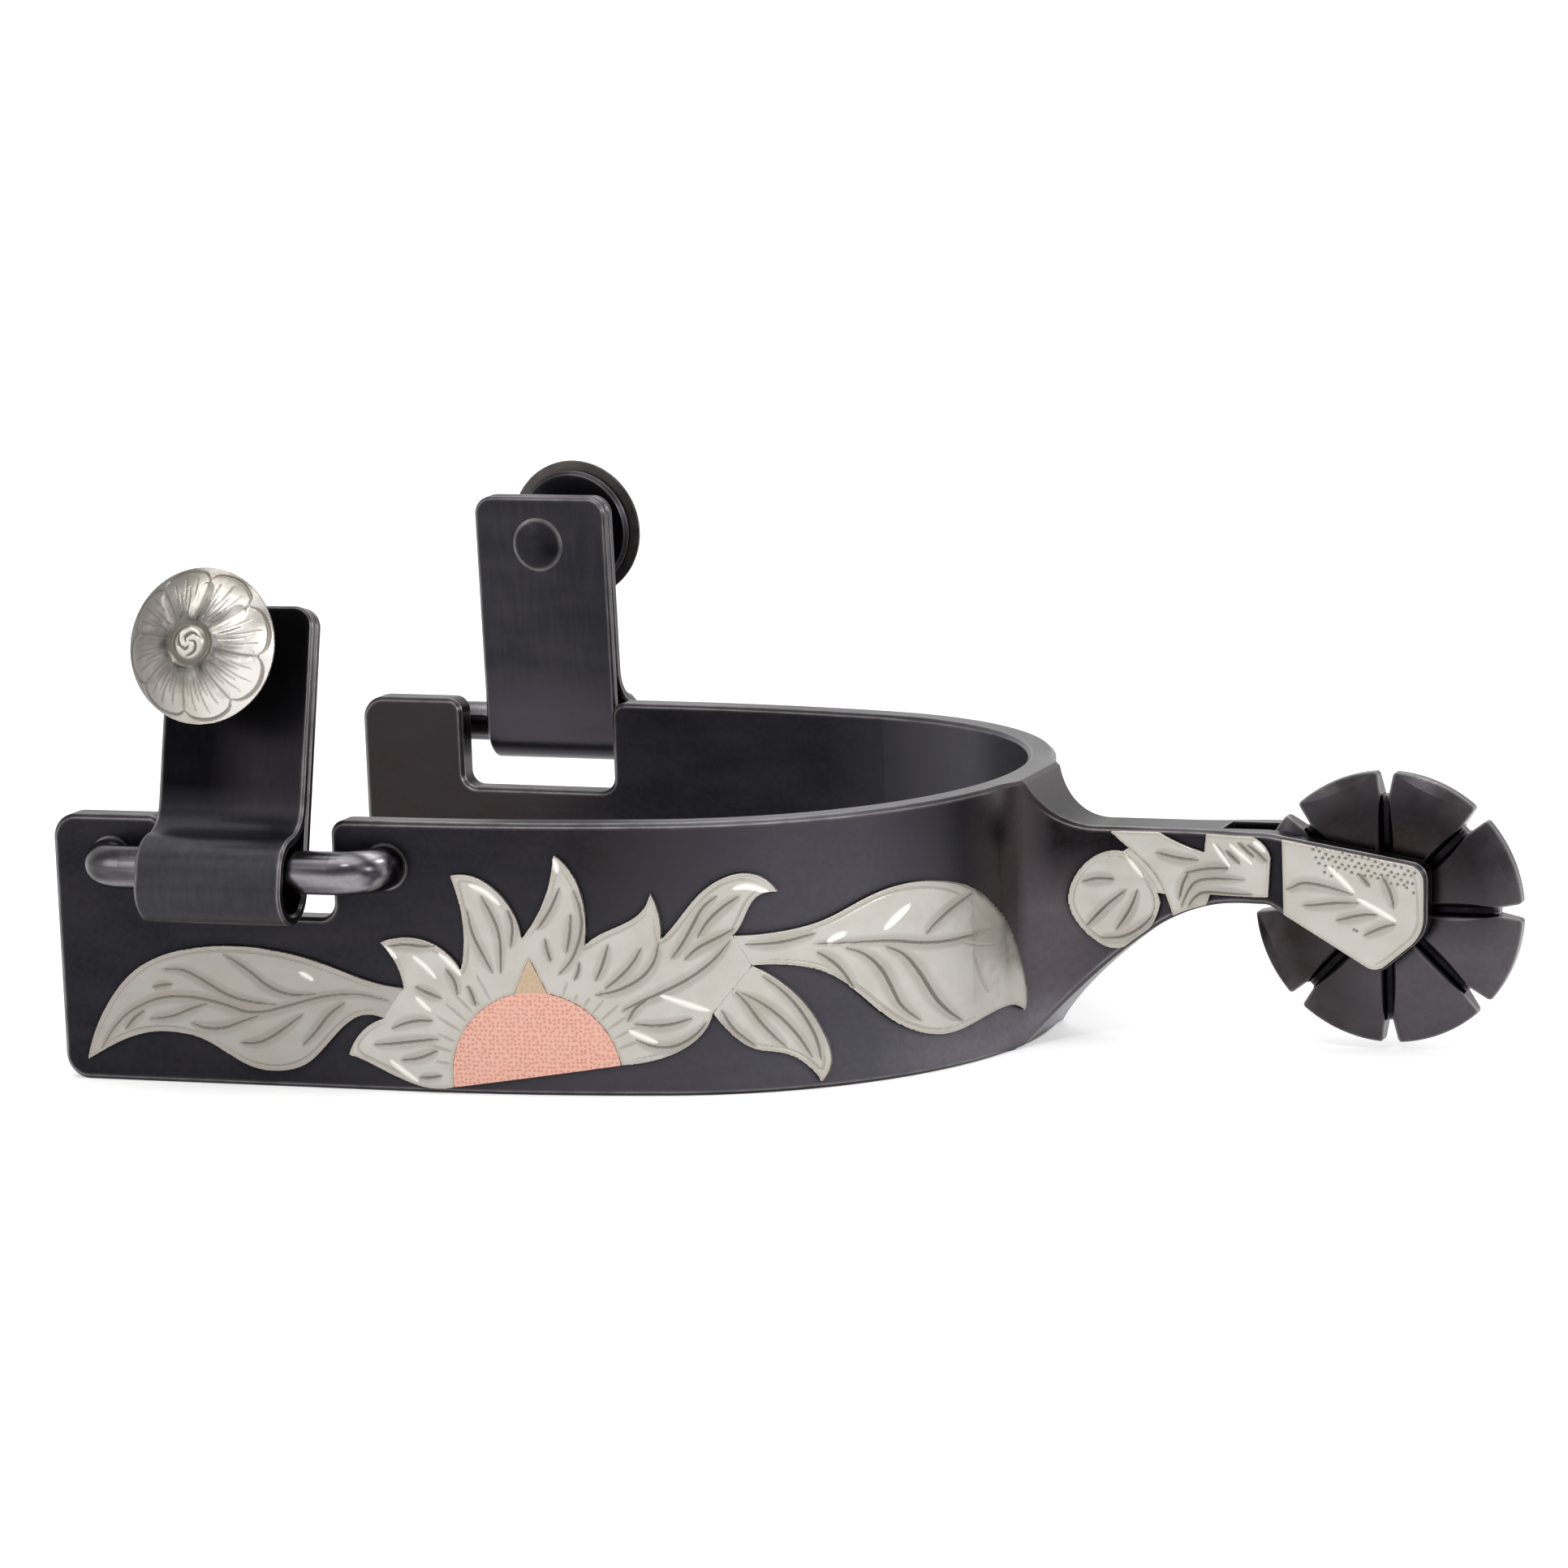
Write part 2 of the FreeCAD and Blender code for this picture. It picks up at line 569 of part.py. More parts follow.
def make_hanger_bar():
    """Round bar bent like a staple, with both feet seated in the band."""
    half = BAR_LEG_SPACING / 2
    bend = BAR_BEND_RADIUS
    foot_y = BAR_STANDOFF + BAR_SEAT_DEPTH
    left, right = vec(-half + bend, bend), vec(half - bend, bend)
    path = Part.Wire([
        line(vec(-half, foot_y), vec(-half, bend)),
        arc(left, bend, 180, 270),
        line(vec(-half + bend, 0), vec(half - bend, 0)),
        arc(right, bend, 270, 360),
        line(vec(half, bend), vec(half, foot_y)),
    ])
    ring = Part.Wire(Part.makeCircle(BAR_DIA / 2, vec(-half, foot_y), OUTWARDS))
    return path.makePipeShell([ring], True, False)


def bend_strip(start, heading, moves, thick):
    """Closed section of a strip bent along straight runs and turns.

    Each move is (length,) or (radius, angle) at the middle of the strip, and a
    positive angle turns to the left.
    """
    left, right = [], []
    here, way = start, heading
    for move in moves:
        side = turn(way + 90) * (thick / 2)
        if len(move) == 1:
            there = here + turn(way) * move[0]
            left.append(line(here + side, there + side))
            right.append(line(here - side, there - side))
        else:
            radius, angle = move
            sign = 1 if angle > 0 else -1
            centre = here + turn(way + 90) * (radius * sign)
            first = way - 90 * sign
            left.append(arc(centre, radius - sign * thick / 2, first, first + angle))
            right.append(arc(centre, radius + sign * thick / 2, first, first + angle))
            there = centre + turn(first + angle) * radius
            way += angle
        here = there
    last_side = turn(way + 90) * (thick / 2)
    first_side = turn(heading + 90) * (thick / 2)
    caps = [line(start + first_side, start - first_side), line(here + last_side, here - last_side)]
    return face_of(Part.sortEdges(left + right + caps)[0])


def make_hanger(side):
    """One strip folded round the bar, its two leaves lying together above the knuckle."""
    length, slack = side["length"], side["slack"]
    travel = leaf_mid + front_leaf_face + LEAF_THICK / 2
    ease = travel / (1 - math.cos(math.radians(KNUCKLE_FOLD))) - leaf_mid
    rise = (leaf_mid + ease) * math.sin(math.radians(KNUCKLE_FOLD))
    section = bend_strip(vec(leaf_mid, length), -90, [
        (length + slack,),
        (leaf_mid, -180),
        (slack,),
        (leaf_mid, -KNUCKLE_FOLD),
        (ease, KNUCKLE_FOLD),
        (length - rise,),
    ], LEAF_THICK)
    # the section is drawn as (towards the boot, up); stand it across the bar
    section.rotate(ORIGIN, BACKWARDS, 90)
    section.rotate(ORIGIN, UP, 90)
    section.translate(vec(-HANGER_WIDTH / 2, 0))
    strip = section.extrude(vec(HANGER_WIDTH, 0))
    half = HANGER_WIDTH / 2
    foot = -(knuckle_radius + 2 * LEAF_THICK + slack)
    corners = [vec(-half, foot), vec(half, foot), vec(half, length), vec(-half, length)]
    radii = [0, 0, HANGER_CORNER_ROUND, HANGER_CORNER_ROUND]
    blank = slab(upright(fillet_polygon(corners, radii)), -FAR, FAR)
    hole = cylinder(NECK_DIA / 2, -FAR, FAR, side["button_shift"], length - side["button_drop"])
    hanger = broken_edges(strip.common(blank), LEAF_EDGE_BREAK)
    return hanger.cut(hole)


def make_button_stud():
    """Rivet through both leaves: spigot in the base, neck for the strap, peened tail."""
    back = front_leaf_face - STRAP_GAP
    tail_face = knuckle_radius + LEAF_THICK
    stud = cylinder(NECK_DIA / 2, back, tail_face)
    stud = stud.fuse(cylinder(SPIGOT_DIA / 2, back - BASE_THICK, back))
    tail = domed_head(TAIL_DIA, TAIL_HEIGHT)
    tail.translate(vec(0, tail_face))
    return stud.fuse(tail).removeSplitter()


def make_button_base():
    back = front_leaf_face - STRAP_GAP
    disc = cylinder(BASE_DIA / 2, back - BASE_THICK, back)
    back_rim = [edge for edge in disc.Edges if edge.CenterOfMass.y > back - BASE_THICK / 4]
    disc = disc.makeChamfer(BASE_EDGE_BREAK, back_rim)
    return disc.cut(cylinder(SPIGOT_DIA / 2, back - 2 * BASE_THICK, back + BASE_THICK))


def make_button_cap():
    """Domed cap: a short lip, then a spherical crown."""
    seat = front_leaf_face - STRAP_GAP - BASE_THICK
    lip = cylinder(CAP_DIA / 2, 0, CAP_LIP)
    crown = domed_head(CAP_DIA, CAP_RISE - CAP_LIP)
    crown.translate(vec(0, CAP_LIP))
    cap = lip.fuse(crown).removeSplitter()
    cap.rotate(ORIGIN, UP, 180)
    cap.translate(vec(0, seat))
    return cap


def hung(shape, side, along=0.0, up=0.0):
    """Place a piece on its hanger, lean it towards the boot and put it on its arm."""
    leaned = shape.copy()
    leaned.translate(vec(along, 0, up))
    leaned.rotate(ORIGIN, BACKWARDS, -side["lean"])
    return on_arm(leaned, side, side["shift"])


# ---- overlays ----

def outline(runs):
    """XZ face bounded by smooth runs that meet at sharp corners."""
    edges = []
    for run in runs:
        points = [vec(x, z) for x, z in run]
        if len(points) == 2:
            edges.append(line(*points))
        else:
            curve = Part.BSplineCurve()
            curve.interpolate(points)
            edges.append(curve.toShape())
    return upright(face_of(edges))


def outer_skin():
    """Layer of overlay thickness on the outer side of the band and the shank."""
    grown_band = ring_plan(-OVERLAY_THICK, BAND_THICK).extrude(vec(0, 0, BAND_HEIGHT))
    grown_shank = shank_plan(OVERLAY_THICK).extrude(vec(0, 0, BAND_HEIGHT))
    block = Part.makeBox(2 * FAR, FAR, BAND_HEIGHT, vec(-FAR, -FAR, 0))
    solid_plan = ring_plan(0, BAND_THICK).fuse(shank_plan(0)).extrude(vec(0, 0, BAND_HEIGHT))
    return grown_band.fuse(grown_shank).common(block).cut(solid_plan)


def make_overlay(skin, face):
    piece = skin.common(slab(face, -FAR, 0))
    return piece.removeSplitter()


def centre_face():
    start, top, end = [vec(x, z) for x, z in FLOWER_CENTRE]
    return upright(face_of([Part.Arc(start, top, end).toShape(), line(end, start)]))


def export(name, shape):
    solids = [solid for solid in shape.Solids if solid.Volume > CRUMB_VOLUME]
    result = solids[0] if len(solids) == 1 else Part.makeCompound(solids)
    print(f"{name}: {len(solids)} solid(s), {result.Volume:.1f} mm3, valid {result.isValid()}")
    result.exportStep(f"parts/{name}.step")


def main():
    os.makedirs("parts", exist_ok=True)
    band_blank, shank_blank = spur_blank()
    band, shank = make_heel_band(band_blank), make_shank(shank_blank)
    export("heel_band", band)
    export("shank", shank)
    export("rowel", make_rowel())
    export("rowel_pin", make_rowel_pin())

    for name, side in {"outer": OUTER_SIDE, "inner": INNER_SIDE}.items():
        place = side["button_shift"], side["length"] - side["button_drop"]
        export(f"{name}_hanger_bar", on_arm(make_hanger_bar(), side))
        export(f"{name}_hanger", hung(make_hanger(side), side))
        export(f"{name}_button_stud", hung(make_button_stud(), side, *place))
        export(f"{name}_button_base", hung(make_button_base(), side, *place))
        export(f"{name}_button_cap", hung(make_button_cap(), side, *place))

    skin = outer_skin()
    centre = make_overlay(skin, centre_face())
    tip = make_overlay(skin, outline(FLOWER_TIP)).cut(centre)
    export("flower_centre", centre)
    export("flower_tip", tip)
    export("flower_petals", make_overlay(skin, outline(FLOWER)).cut(centre).cut(tip))
    export("left_leaf", make_overlay(skin, outline(LEFT_LEAF)))
    export("right_leaf", make_overlay(skin, outline(RIGHT_LEAF)))
    export("lower_leaf", make_overlay(skin, outline(LOWER_LEAF)))
    trim = shank_profile(OVERLAY_INSET)
    export("shank_leaf", make_overlay(skin, outline(SHANK_LEAF)).common(trim))
    export("shank_scroll", make_overlay(skin, outline(SHANK_SCROLL)).common(trim))
    beyond = Part.makeBox(FAR, FAR, FAR, vec(EAR_LEAF_FROM, -FAR, 0))
    export("ear_leaf", make_overlay(skin, ear_side(OVERLAY_INSET)).common(beyond))


main()
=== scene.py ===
import math
import bpy
import numpy as np
from mathutils import Matrix, Vector
from mathutils.bvhtree import BVHTree
from mathutils.interpolate import poly_3d_calc


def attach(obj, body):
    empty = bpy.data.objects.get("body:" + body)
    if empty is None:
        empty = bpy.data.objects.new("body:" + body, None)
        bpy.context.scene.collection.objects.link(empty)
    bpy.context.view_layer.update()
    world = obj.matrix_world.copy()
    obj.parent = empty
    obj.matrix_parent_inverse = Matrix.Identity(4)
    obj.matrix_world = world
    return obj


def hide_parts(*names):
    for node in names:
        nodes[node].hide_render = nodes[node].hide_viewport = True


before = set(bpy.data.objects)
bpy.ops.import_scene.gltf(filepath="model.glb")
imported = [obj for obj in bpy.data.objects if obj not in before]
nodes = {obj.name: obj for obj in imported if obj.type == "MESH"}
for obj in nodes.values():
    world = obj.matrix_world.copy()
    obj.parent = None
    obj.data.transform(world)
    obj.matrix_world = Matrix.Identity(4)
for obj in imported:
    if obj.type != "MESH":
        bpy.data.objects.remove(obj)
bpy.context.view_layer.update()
MM = 0.001


# ---- camera ----
# A long lens, low and to the right of the spur, so that its outer side shows whole
# and the band's inside shows over the near arm.
CAMERA_TURN = math.radians(21.189)
CAMERA_RISE = math.radians(9.713)
CAMERA_ROLL = math.radians(-2.147)
CAMERA_PLACE = (0.2334, -0.6814, 0.1547)
CAMERA_LENS = 141.1     # mm, over a sensor 36 mm wide
scene = bpy.context.scene

backwards = Vector((math.sin(CAMERA_TURN) * math.cos(CAMERA_RISE),
                    -math.cos(CAMERA_TURN) * math.cos(CAMERA_RISE),
                    math.sin(CAMERA_RISE)))
level_right = Vector((math.cos(CAMERA_TURN), math.sin(CAMERA_TURN), 0))
level_up = backwards.cross(level_right)
right = math.cos(CAMERA_ROLL) * level_right + math.sin(CAMERA_ROLL) * level_up
up = math.cos(CAMERA_ROLL) * level_up - math.sin(CAMERA_ROLL) * level_right
bpy.ops.object.camera_add()
camera = bpy.context.object
camera_axes = Matrix((right, up, backwards)).transposed().to_4x4()
camera.matrix_world = Matrix.Translation(CAMERA_PLACE) @ camera_axes
camera.data.lens = CAMERA_LENS
camera.data.sensor_width = 36
camera.data.clip_start = 0.01
scene.camera = camera


# ---- studio ----
# A white table that runs on into a white room. A broad lamp overhead and a softer
# one from the front left light it, narrow ones from the right and the rear right
# draw its edges, and a small one high in front makes the sparks.
TABLE_SIZE = 8
TABLE_WHITE = 0.62
scene.view_settings.view_transform = "Standard"


def add_node(tree, kind, values=None, **settings):
    """A new shader node, with values for its sockets and its own settings."""
    node = tree.nodes.new(kind)
    for name, setting in settings.items():
        setattr(node, name, setting)
    for socket, value in (values or {}).items():
        node.inputs[socket].default_value = value
    return node


def new_material(name):
    """A material, with its node tree and its surface node."""
    material = bpy.data.materials.new(name)
    material.use_nodes = True
    return material, material.node_tree, material.node_tree.nodes["Principled BSDF"]


def seen_directly(tree):
    """1 for a ray from the camera, a mirror or a clear piece, and 0 for light."""
    path = add_node(tree, "ShaderNodeLightPath")
    either = add_node(tree, "ShaderNodeMath", operation="MAXIMUM")
    any_of = add_node(tree, "ShaderNodeMath", operation="MAXIMUM")
    tree.links.new(path.outputs["Is Camera Ray"], either.inputs[0])
    tree.links.new(path.outputs["Is Glossy Ray"], either.inputs[1])
    tree.links.new(either.outputs[0], any_of.inputs[0])
    tree.links.new(path.outputs["Is Transmission Ray"], any_of.inputs[1])
    return any_of.outputs[0]


world = bpy.data.worlds.new("room")
scene.world = world
world.use_nodes = True
room = world.node_tree
ground_light = room.nodes["Background"]
ground_light.inputs["Color"].default_value = (1, 1, 1, 1)
ground_light.inputs["Strength"].default_value = 0.6
white_room = add_node(room, "ShaderNodeBackground", {"Color": (1, 1, 1, 1), "Strength": 1.0})
choice = add_node(room, "ShaderNodeMixShader")
room.links.new(seen_directly(room), choice.inputs["Fac"])
room.links.new(ground_light.outputs[0], choice.inputs[1])
room.links.new(white_room.outputs[0], choice.inputs[2])
room.links.new(choice.outputs[0], room.nodes["World Output"].inputs["Surface"])

bpy.ops.mesh.primitive_plane_add(size=TABLE_SIZE)
table = bpy.context.object
table.name = "table"
table_paint, tree, paint = new_material("table_white")
paint.inputs["Base Color"].default_value = (TABLE_WHITE, TABLE_WHITE, TABLE_WHITE, 1)
paint.inputs["Roughness"].default_value = 0.9
glow = add_node(tree, "ShaderNodeEmission", {"Color": (1, 1, 1, 1)})
spot = add_node(tree, "ShaderNodeTexCoord")
far_off = add_node(tree, "ShaderNodeVectorMath", operation="LENGTH")
fade = add_node(tree, "ShaderNodeMapRange", {
    "From Min": 0.15, "From Max": 0.8, "To Min": 0.45, "To Max": 0.7})
tree.links.new(spot.outputs["Object"], far_off.inputs[0])
tree.links.new(far_off.outputs["Value"], fade.inputs["Value"])
tree.links.new(fade.outputs[0], glow.inputs["Strength"])
both = add_node(tree, "ShaderNodeAddShader")
plain_or_lit = add_node(tree, "ShaderNodeMixShader")
tree.links.new(paint.outputs[0], both.inputs[0])
tree.links.new(glow.outputs[0], both.inputs[1])
tree.links.new(seen_directly(tree), plain_or_lit.inputs["Fac"])
tree.links.new(paint.outputs[0], plain_or_lit.inputs[1])
tree.links.new(both.outputs[0], plain_or_lit.inputs[2])
tree.links.new(plain_or_lit.outputs[0], tree.nodes["Material Output"].inputs["Surface"])
table.data.materials.append(table_paint)


def softbox(name, place, aim, size, power):
    """A flat lamp of this size, in metres, turned from its place to what it aims at."""
    bpy.ops.object.light_add(type="AREA", location=place)
    lamp = bpy.context.object
    lamp.name = name
    lamp.data.shape = "RECTANGLE"
    lamp.data.size, lamp.data.size_y = size
    lamp.data.energy = power
    lamp.rotation_euler = (Vector(aim) - Vector(place)).to_track_quat("-Z", "Y").to_euler()


softbox("overhead", (-0.05, 0.0, 0.75), (-0.03, 0, 0), (0.9, 0.7), 4.5)
softbox("front_left", (-0.75, -0.75, 0.45), (-0.03, 0, 0.02), (0.6, 0.5), 1.2)
softbox("right", (0.60, -0.35, 0.32), (-0.03, 0, 0.03), (0.12, 0.2), 1.3)
softbox("rear_right", (0.50, 0.15, 0.60), (0.03, 0, 0.02), (0.15, 0.15), 0.7)
softbox("spark", (0.05, -0.60, 0.75), (-0.03, 0, 0.03), (0.12, 0.12), 1.6)


# ---- heel band ----
# A forged strap of mild steel bent round the boot heel, its ends flared a little.
# It is heat-blued to a dark blue-grey that has gone brown where it was held, and
# its corners are rubbed to a paler grey.
def tone(red, green, blue):
    """A colour as it shows, 0 to 255, as the shader's linear colour."""
    def linear(level):
        level /= 255
        return level / 12.92 if level <= 0.04045 else ((level + 0.055) / 1.055) ** 2.4
    return (linear(red), linear(green), linear(blue), 1.0)


def mix_colours(tree, low, high, factor):
    """Between two colours, given as values or sockets, by a factor socket."""
    mix = add_node(tree, "ShaderNodeMix", data_type="RGBA")
    tree.links.new(factor, mix.inputs["Factor"])
    for socket, colour in ((mix.inputs[6], low), (mix.inputs[7], high)):
        if isinstance(colour, tuple):
            socket.default_value = colour
        else:
            tree.links.new(colour, socket)
    return mix.outputs[2]


def spread(tree, source, low, high, to_low=0.0, to_high=1.0):
    """A source between low and high, stretched to between to_low and to_high."""
    stretch = add_node(tree, "ShaderNodeMapRange", {
        "From Min": low, "From Max": high, "To Min": to_low, "To Max": to_high})
    tree.links.new(source, stretch.inputs["Value"])
    return stretch.outputs[0]


def product(tree, total, *factors):
    """A socket times the factors, each of them a socket or a number."""
    for factor in factors:
        times = add_node(tree, "ShaderNodeMath", operation="MULTIPLY")
        tree.links.new(total, times.inputs[0])
        if isinstance(factor, float):
            times.inputs[1].default_value = factor
        else:
            tree.links.new(factor, times.inputs[1])
        total = times.outputs[0]
    return total


def relieve(tree, metal, height, strength, depth, hollow=False):
    """Tilts a metal's surface as a height socket says, or the other way for hollows."""
    bump = add_node(tree, "ShaderNodeBump", {"Strength": strength, "Distance": depth})
    bump.invert = hollow
    tree.links.new(height, bump.inputs["Height"])
    tree.links.new(bump.outputs[0], metal.inputs["Normal"])


def effect_group(name, output, **inputs):
    """A new shader node group, with its named inputs as sockets and its one output."""
    group = bpy.data.node_groups.new(name, "ShaderNodeTree")
    for label, kind in inputs.items():
        group.interface.new_socket(label, in_out="INPUT", socket_type="NodeSocket" + kind)
    group.interface.new_socket(output, in_out="OUTPUT", socket_type="NodeSocketFloat")
    given = group.nodes.new("NodeGroupInput").outputs
    return group, given, group.nodes.new("NodeGroupOutput").inputs[0]


def placed(tree, group, **values):
    """The group in a material, with that material's values."""
    return add_node(tree, "ShaderNodeGroup", values, node_tree=group).outputs[0]


# Cloudy patches about Size metres across, drawn out by Stretch.
patches_group, given, result = effect_group(
    "patches", "Cloud", Size="Float", Detail="Float", Stretch="Vector")
place = add_node(patches_group, "ShaderNodeTexCoord")
scale = add_node(patches_group, "ShaderNodeMapping")
fineness = add_node(patches_group, "ShaderNodeMath", {0: 1.0}, operation="DIVIDE")
noise = add_node(patches_group, "ShaderNodeTexNoise")
patches_group.links.new(place.outputs["Object"], scale.inputs["Vector"])
patches_group.links.new(given["Stretch"], scale.inputs["Scale"])
patches_group.links.new(given["Size"], fineness.inputs[1])
patches_group.links.new(scale.outputs[0], noise.inputs["Vector"])
patches_group.links.new(fineness.outputs[0], noise.inputs["Scale"])
patches_group.links.new(given["Detail"], noise.inputs["Detail"])
patches_group.links.new(noise.outputs["Fac"], result)

# 1 along corners within Reach metres, and 0 on flats: the steel's worn corners, and the silver's painted
# edge highlight.
edge_group, given, result = effect_group("worn_and_lit_edges", "Worn_and_lit", Reach="Float")
rounded = add_node(edge_group, "ShaderNodeBevel", samples=6)
true_normal = add_node(edge_group, "ShaderNodeNewGeometry")
agree = add_node(edge_group, "ShaderNodeVectorMath", operation="DOT_PRODUCT")
edge_group.links.new(given["Reach"], rounded.inputs["Radius"])
edge_group.links.new(rounded.outputs[0], agree.inputs[0])
edge_group.links.new(true_normal.outputs["Normal"], agree.inputs[1])
edge_group.links.new(spread(edge_group, agree.outputs["Value"], 0.99, 0.85), result)

# 1 in corners within Reach metres that the light can't reach, and 0 in the open: the darkening it gives is
# painted shade, with dirt.
dirt_and_shade_group, given, result = effect_group("dirt_and_shade", "Dirt_and_shade", Reach="Float")
shade = add_node(dirt_and_shade_group, "ShaderNodeAmbientOcclusion", samples=8)
dirt_and_shade_group.links.new(given["Reach"], shade.inputs["Distance"])
dirt_and_shade_group.links.new(spread(dirt_and_shade_group, shade.outputs["AO"], 0.95, 0.35), result)

# 0 up to Start and 1 from End, in metres along an axis of the spur.
fade_group, given, result = effect_group("fade", "Share", Axis="Vector", Start="Float", End="Float")
place = add_node(fade_group, "ShaderNodeTexCoord")
distance = add_node(fade_group, "ShaderNodeVectorMath", operation="DOT_PRODUCT")
stretch = add_node(fade_group, "ShaderNodeMapRange")
fade_group.links.new(place.outputs["Object"], distance.inputs[0])
fade_group.links.new(given["Axis"], distance.inputs[1])
fade_group.links.new(distance.outputs["Value"], stretch.inputs["Value"])
fade_group.links.new(given["Start"], stretch.inputs["From Min"])
fade_group.links.new(given["End"], stretch.inputs["From Max"])
fade_group.links.new(stretch.outputs[0], result)

# 0 within Start of a Spot and 1 from End, in metres; a 0 in Flat leaves out an axis.
spot_group, given, result = effect_group(
    "spot", "Away", Spot="Vector", Flat="Vector", Start="Float", End="Float")
place = add_node(spot_group, "ShaderNodeTexCoord")
kept = add_node(spot_group, "ShaderNodeMapping")
away = add_node(spot_group, "ShaderNodeVectorMath", operation="DISTANCE")
stretch = add_node(spot_group, "ShaderNodeMapRange")
spot_group.links.new(place.outputs["Object"], kept.inputs["Vector"])
spot_group.links.new(given["Flat"], kept.inputs["Scale"])
spot_group.links.new(kept.outputs[0], away.inputs[0])
spot_group.links.new(given["Spot"], away.inputs[1])
spot_group.links.new(away.outputs["Value"], stretch.inputs["Value"])
spot_group.links.new(given["Start"], stretch.inputs["From Min"])
spot_group.links.new(given["End"], stretch.inputs["From Max"])
spot_group.links.new(stretch.outputs[0], result)


def cloud(tree, size, detail=3.0, stretch=(1, 1, 1)):
    """Cloudy patches in a material."""
    return placed(tree, patches_group, Size=size, Detail=detail, Stretch=stretch)


def along(tree, axis, start, end):
    """A fade in a material, from 0 at start to 1 at end along X, Y or Z."""
    return placed(tree, fade_group, Axis=[float(axis == name) for name in "XYZ"], Start=start, End=end)


def near(tree, spot, start, end, flat=(1, 1, 1)):
    """A fade in a material, from 0 at start to 1 at end away from a spot."""
    return placed(tree, spot_group, Spot=Vector(spot) * Vector(flat), Flat=flat, Start=start, End=end)


# The sizes of the steel's patterns, in metres; silver's grain is as deep.
MOTTLE = 0.022
HAZE = 0.006
WEAR_PATCH = 0.003
GRAIN = 0.0007
GRAIN_DEPTH = 0.00003
GRIT_AND_SHADE_REACH = 0.0009
WEAR_REACH = 0.0006
GRIT_AND_SHADE = tone(14, 13, 15)
BARE_STEEL = tone(180, 175, 174)


def zone(*fades, share=1.0):
    """The function that gives a material a place on the spur: share where every fade,
    which is an axis with its start and end, is 1, and 0 where one of them is 0."""
    return lambda tree: product(tree, *(along(tree, *fade) for fade in fades), share)


def blued_steel(name, shade, brown, wear, shine=0.3, where=None, tints=(), brushed=(1, 1, 1)):
    """Blued steel of one shade. brown is the share of it that is browned, and wear how
    pale its corners are, wherever where(tree) is 1. shine is its roughness, tints are
    further colours, each with the function that gives its place, and brushed draws
    its grain out."""
    material, tree, steel = new_material(name)
    patches = cloud(tree, MOTTLE, 4.0)
    grain = cloud(tree, GRAIN, 2.0, brushed)
    browned = spread(tree, patches, 0.72 - brown * 0.6, 0.86 - brown * 0.6)
    blue = tone(shade * 0.98, shade * 0.96, shade * 1.07)
    rust_brown = tone(shade * 1.12, shade * 0.94, shade * 0.88)
    colour = mix_colours(tree, blue, rust_brown, browned)
    for tint, place in tints:
        colour = mix_colours(tree, colour, tint, place(tree))
    haze = spread(tree, cloud(tree, HAZE, 5.0, (0.5, 0.5, 1.5)), 0.4, 0.75, 0.0, 0.35)
    colour = mix_colours(tree, colour, tone(shade * 1.3 + 14, shade * 1.3 + 12, shade * 1.3 + 17), haze)
    speckle = product(tree, spread(tree, grain, 0.35, 0.8), 0.25)
    colour = mix_colours(tree, colour, tone(shade * 1.2 + 14, shade * 1.2 + 12, shade * 1.2 + 16), speckle)
    # Painted shade, with grit: near black in the corners that light can't reach.
    dirt_and_shade = product(tree, placed(tree, dirt_and_shade_group, Reach=GRIT_AND_SHADE_REACH), 0.85)
    colour = mix_colours(tree, colour, GRIT_AND_SHADE, dirt_and_shade)
    uneven = spread(tree, cloud(tree, WEAR_PATCH), 0.3, 0.6, 0.5, 1.0)
    worn = product(tree, placed(tree, edge_group, Reach=WEAR_REACH), uneven)
    if where:
        worn = product(tree, worn, where(tree))
    colour = mix_colours(tree, colour, BARE_STEEL, product(tree, worn, wear))
    tree.links.new(colour, steel.inputs["Base Color"])
    steel.inputs["Metallic"].default_value = 1.0
    tree.links.new(spread(tree, patches, 0.3, 0.7, shine - 0.03, shine + 0.08), steel.inputs["Roughness"])
    relieve(tree, steel, grain, 0.3, GRAIN_DEPTH)
    return material


def finish(node, material):
    """Puts the node's own mesh in this material."""
    nodes[node].data.materials.clear()
    nodes[node].data.materials.append(material)


BLUE_BLACK = 32

# Painted reflection of the table: the band's foot on the outer side paler, more and more towards the heel.
foot_table_reflection = zone(("X", -0.08, 0.0), ("X", 0.030, 0.012), ("Y", 0.030, 0.010), ("Z", 0.030, 0.0))
# Painted highlight: high on the band, just before it turns into the heel.
cheek_highlight = zone(("X", -0.040, -0.018), ("X", 0.0, -0.010), ("Z", 0.008, 0.022), share=0.4)
# Where the band runs out into the root of the shank.
heel_ridge = zone(("X", -0.002, 0.001), ("X", 0.012, 0.006), ("Z", 0.003, 0.009), share=0.9)
# Painted shade: the side of the shank's root under its top edge, warm near black.
root_shade = zone(("X", 0.0, 0.005), ("X", 0.026, 0.015), ("Z", 0.0165, 0.0235), share=0.95)
# Painted light: the flat top of the shank paler.
lit_shank_top = zone(("Z", 0.0256, 0.0262), ("X", 0.012, 0.018), share=0.7)
# Painted reflection of the table: the bottom edge paler where it turns into the heel.
sole_table_reflection = zone(("X", -0.010, 0.002), ("X", 0.030, 0.012), ("Z", 0.009, 0.002))
# The end of the inner arm, browned by the hand.
far_end = zone(("X", -0.070, -0.082), ("Y", 0.010, 0.020), share=0.8)
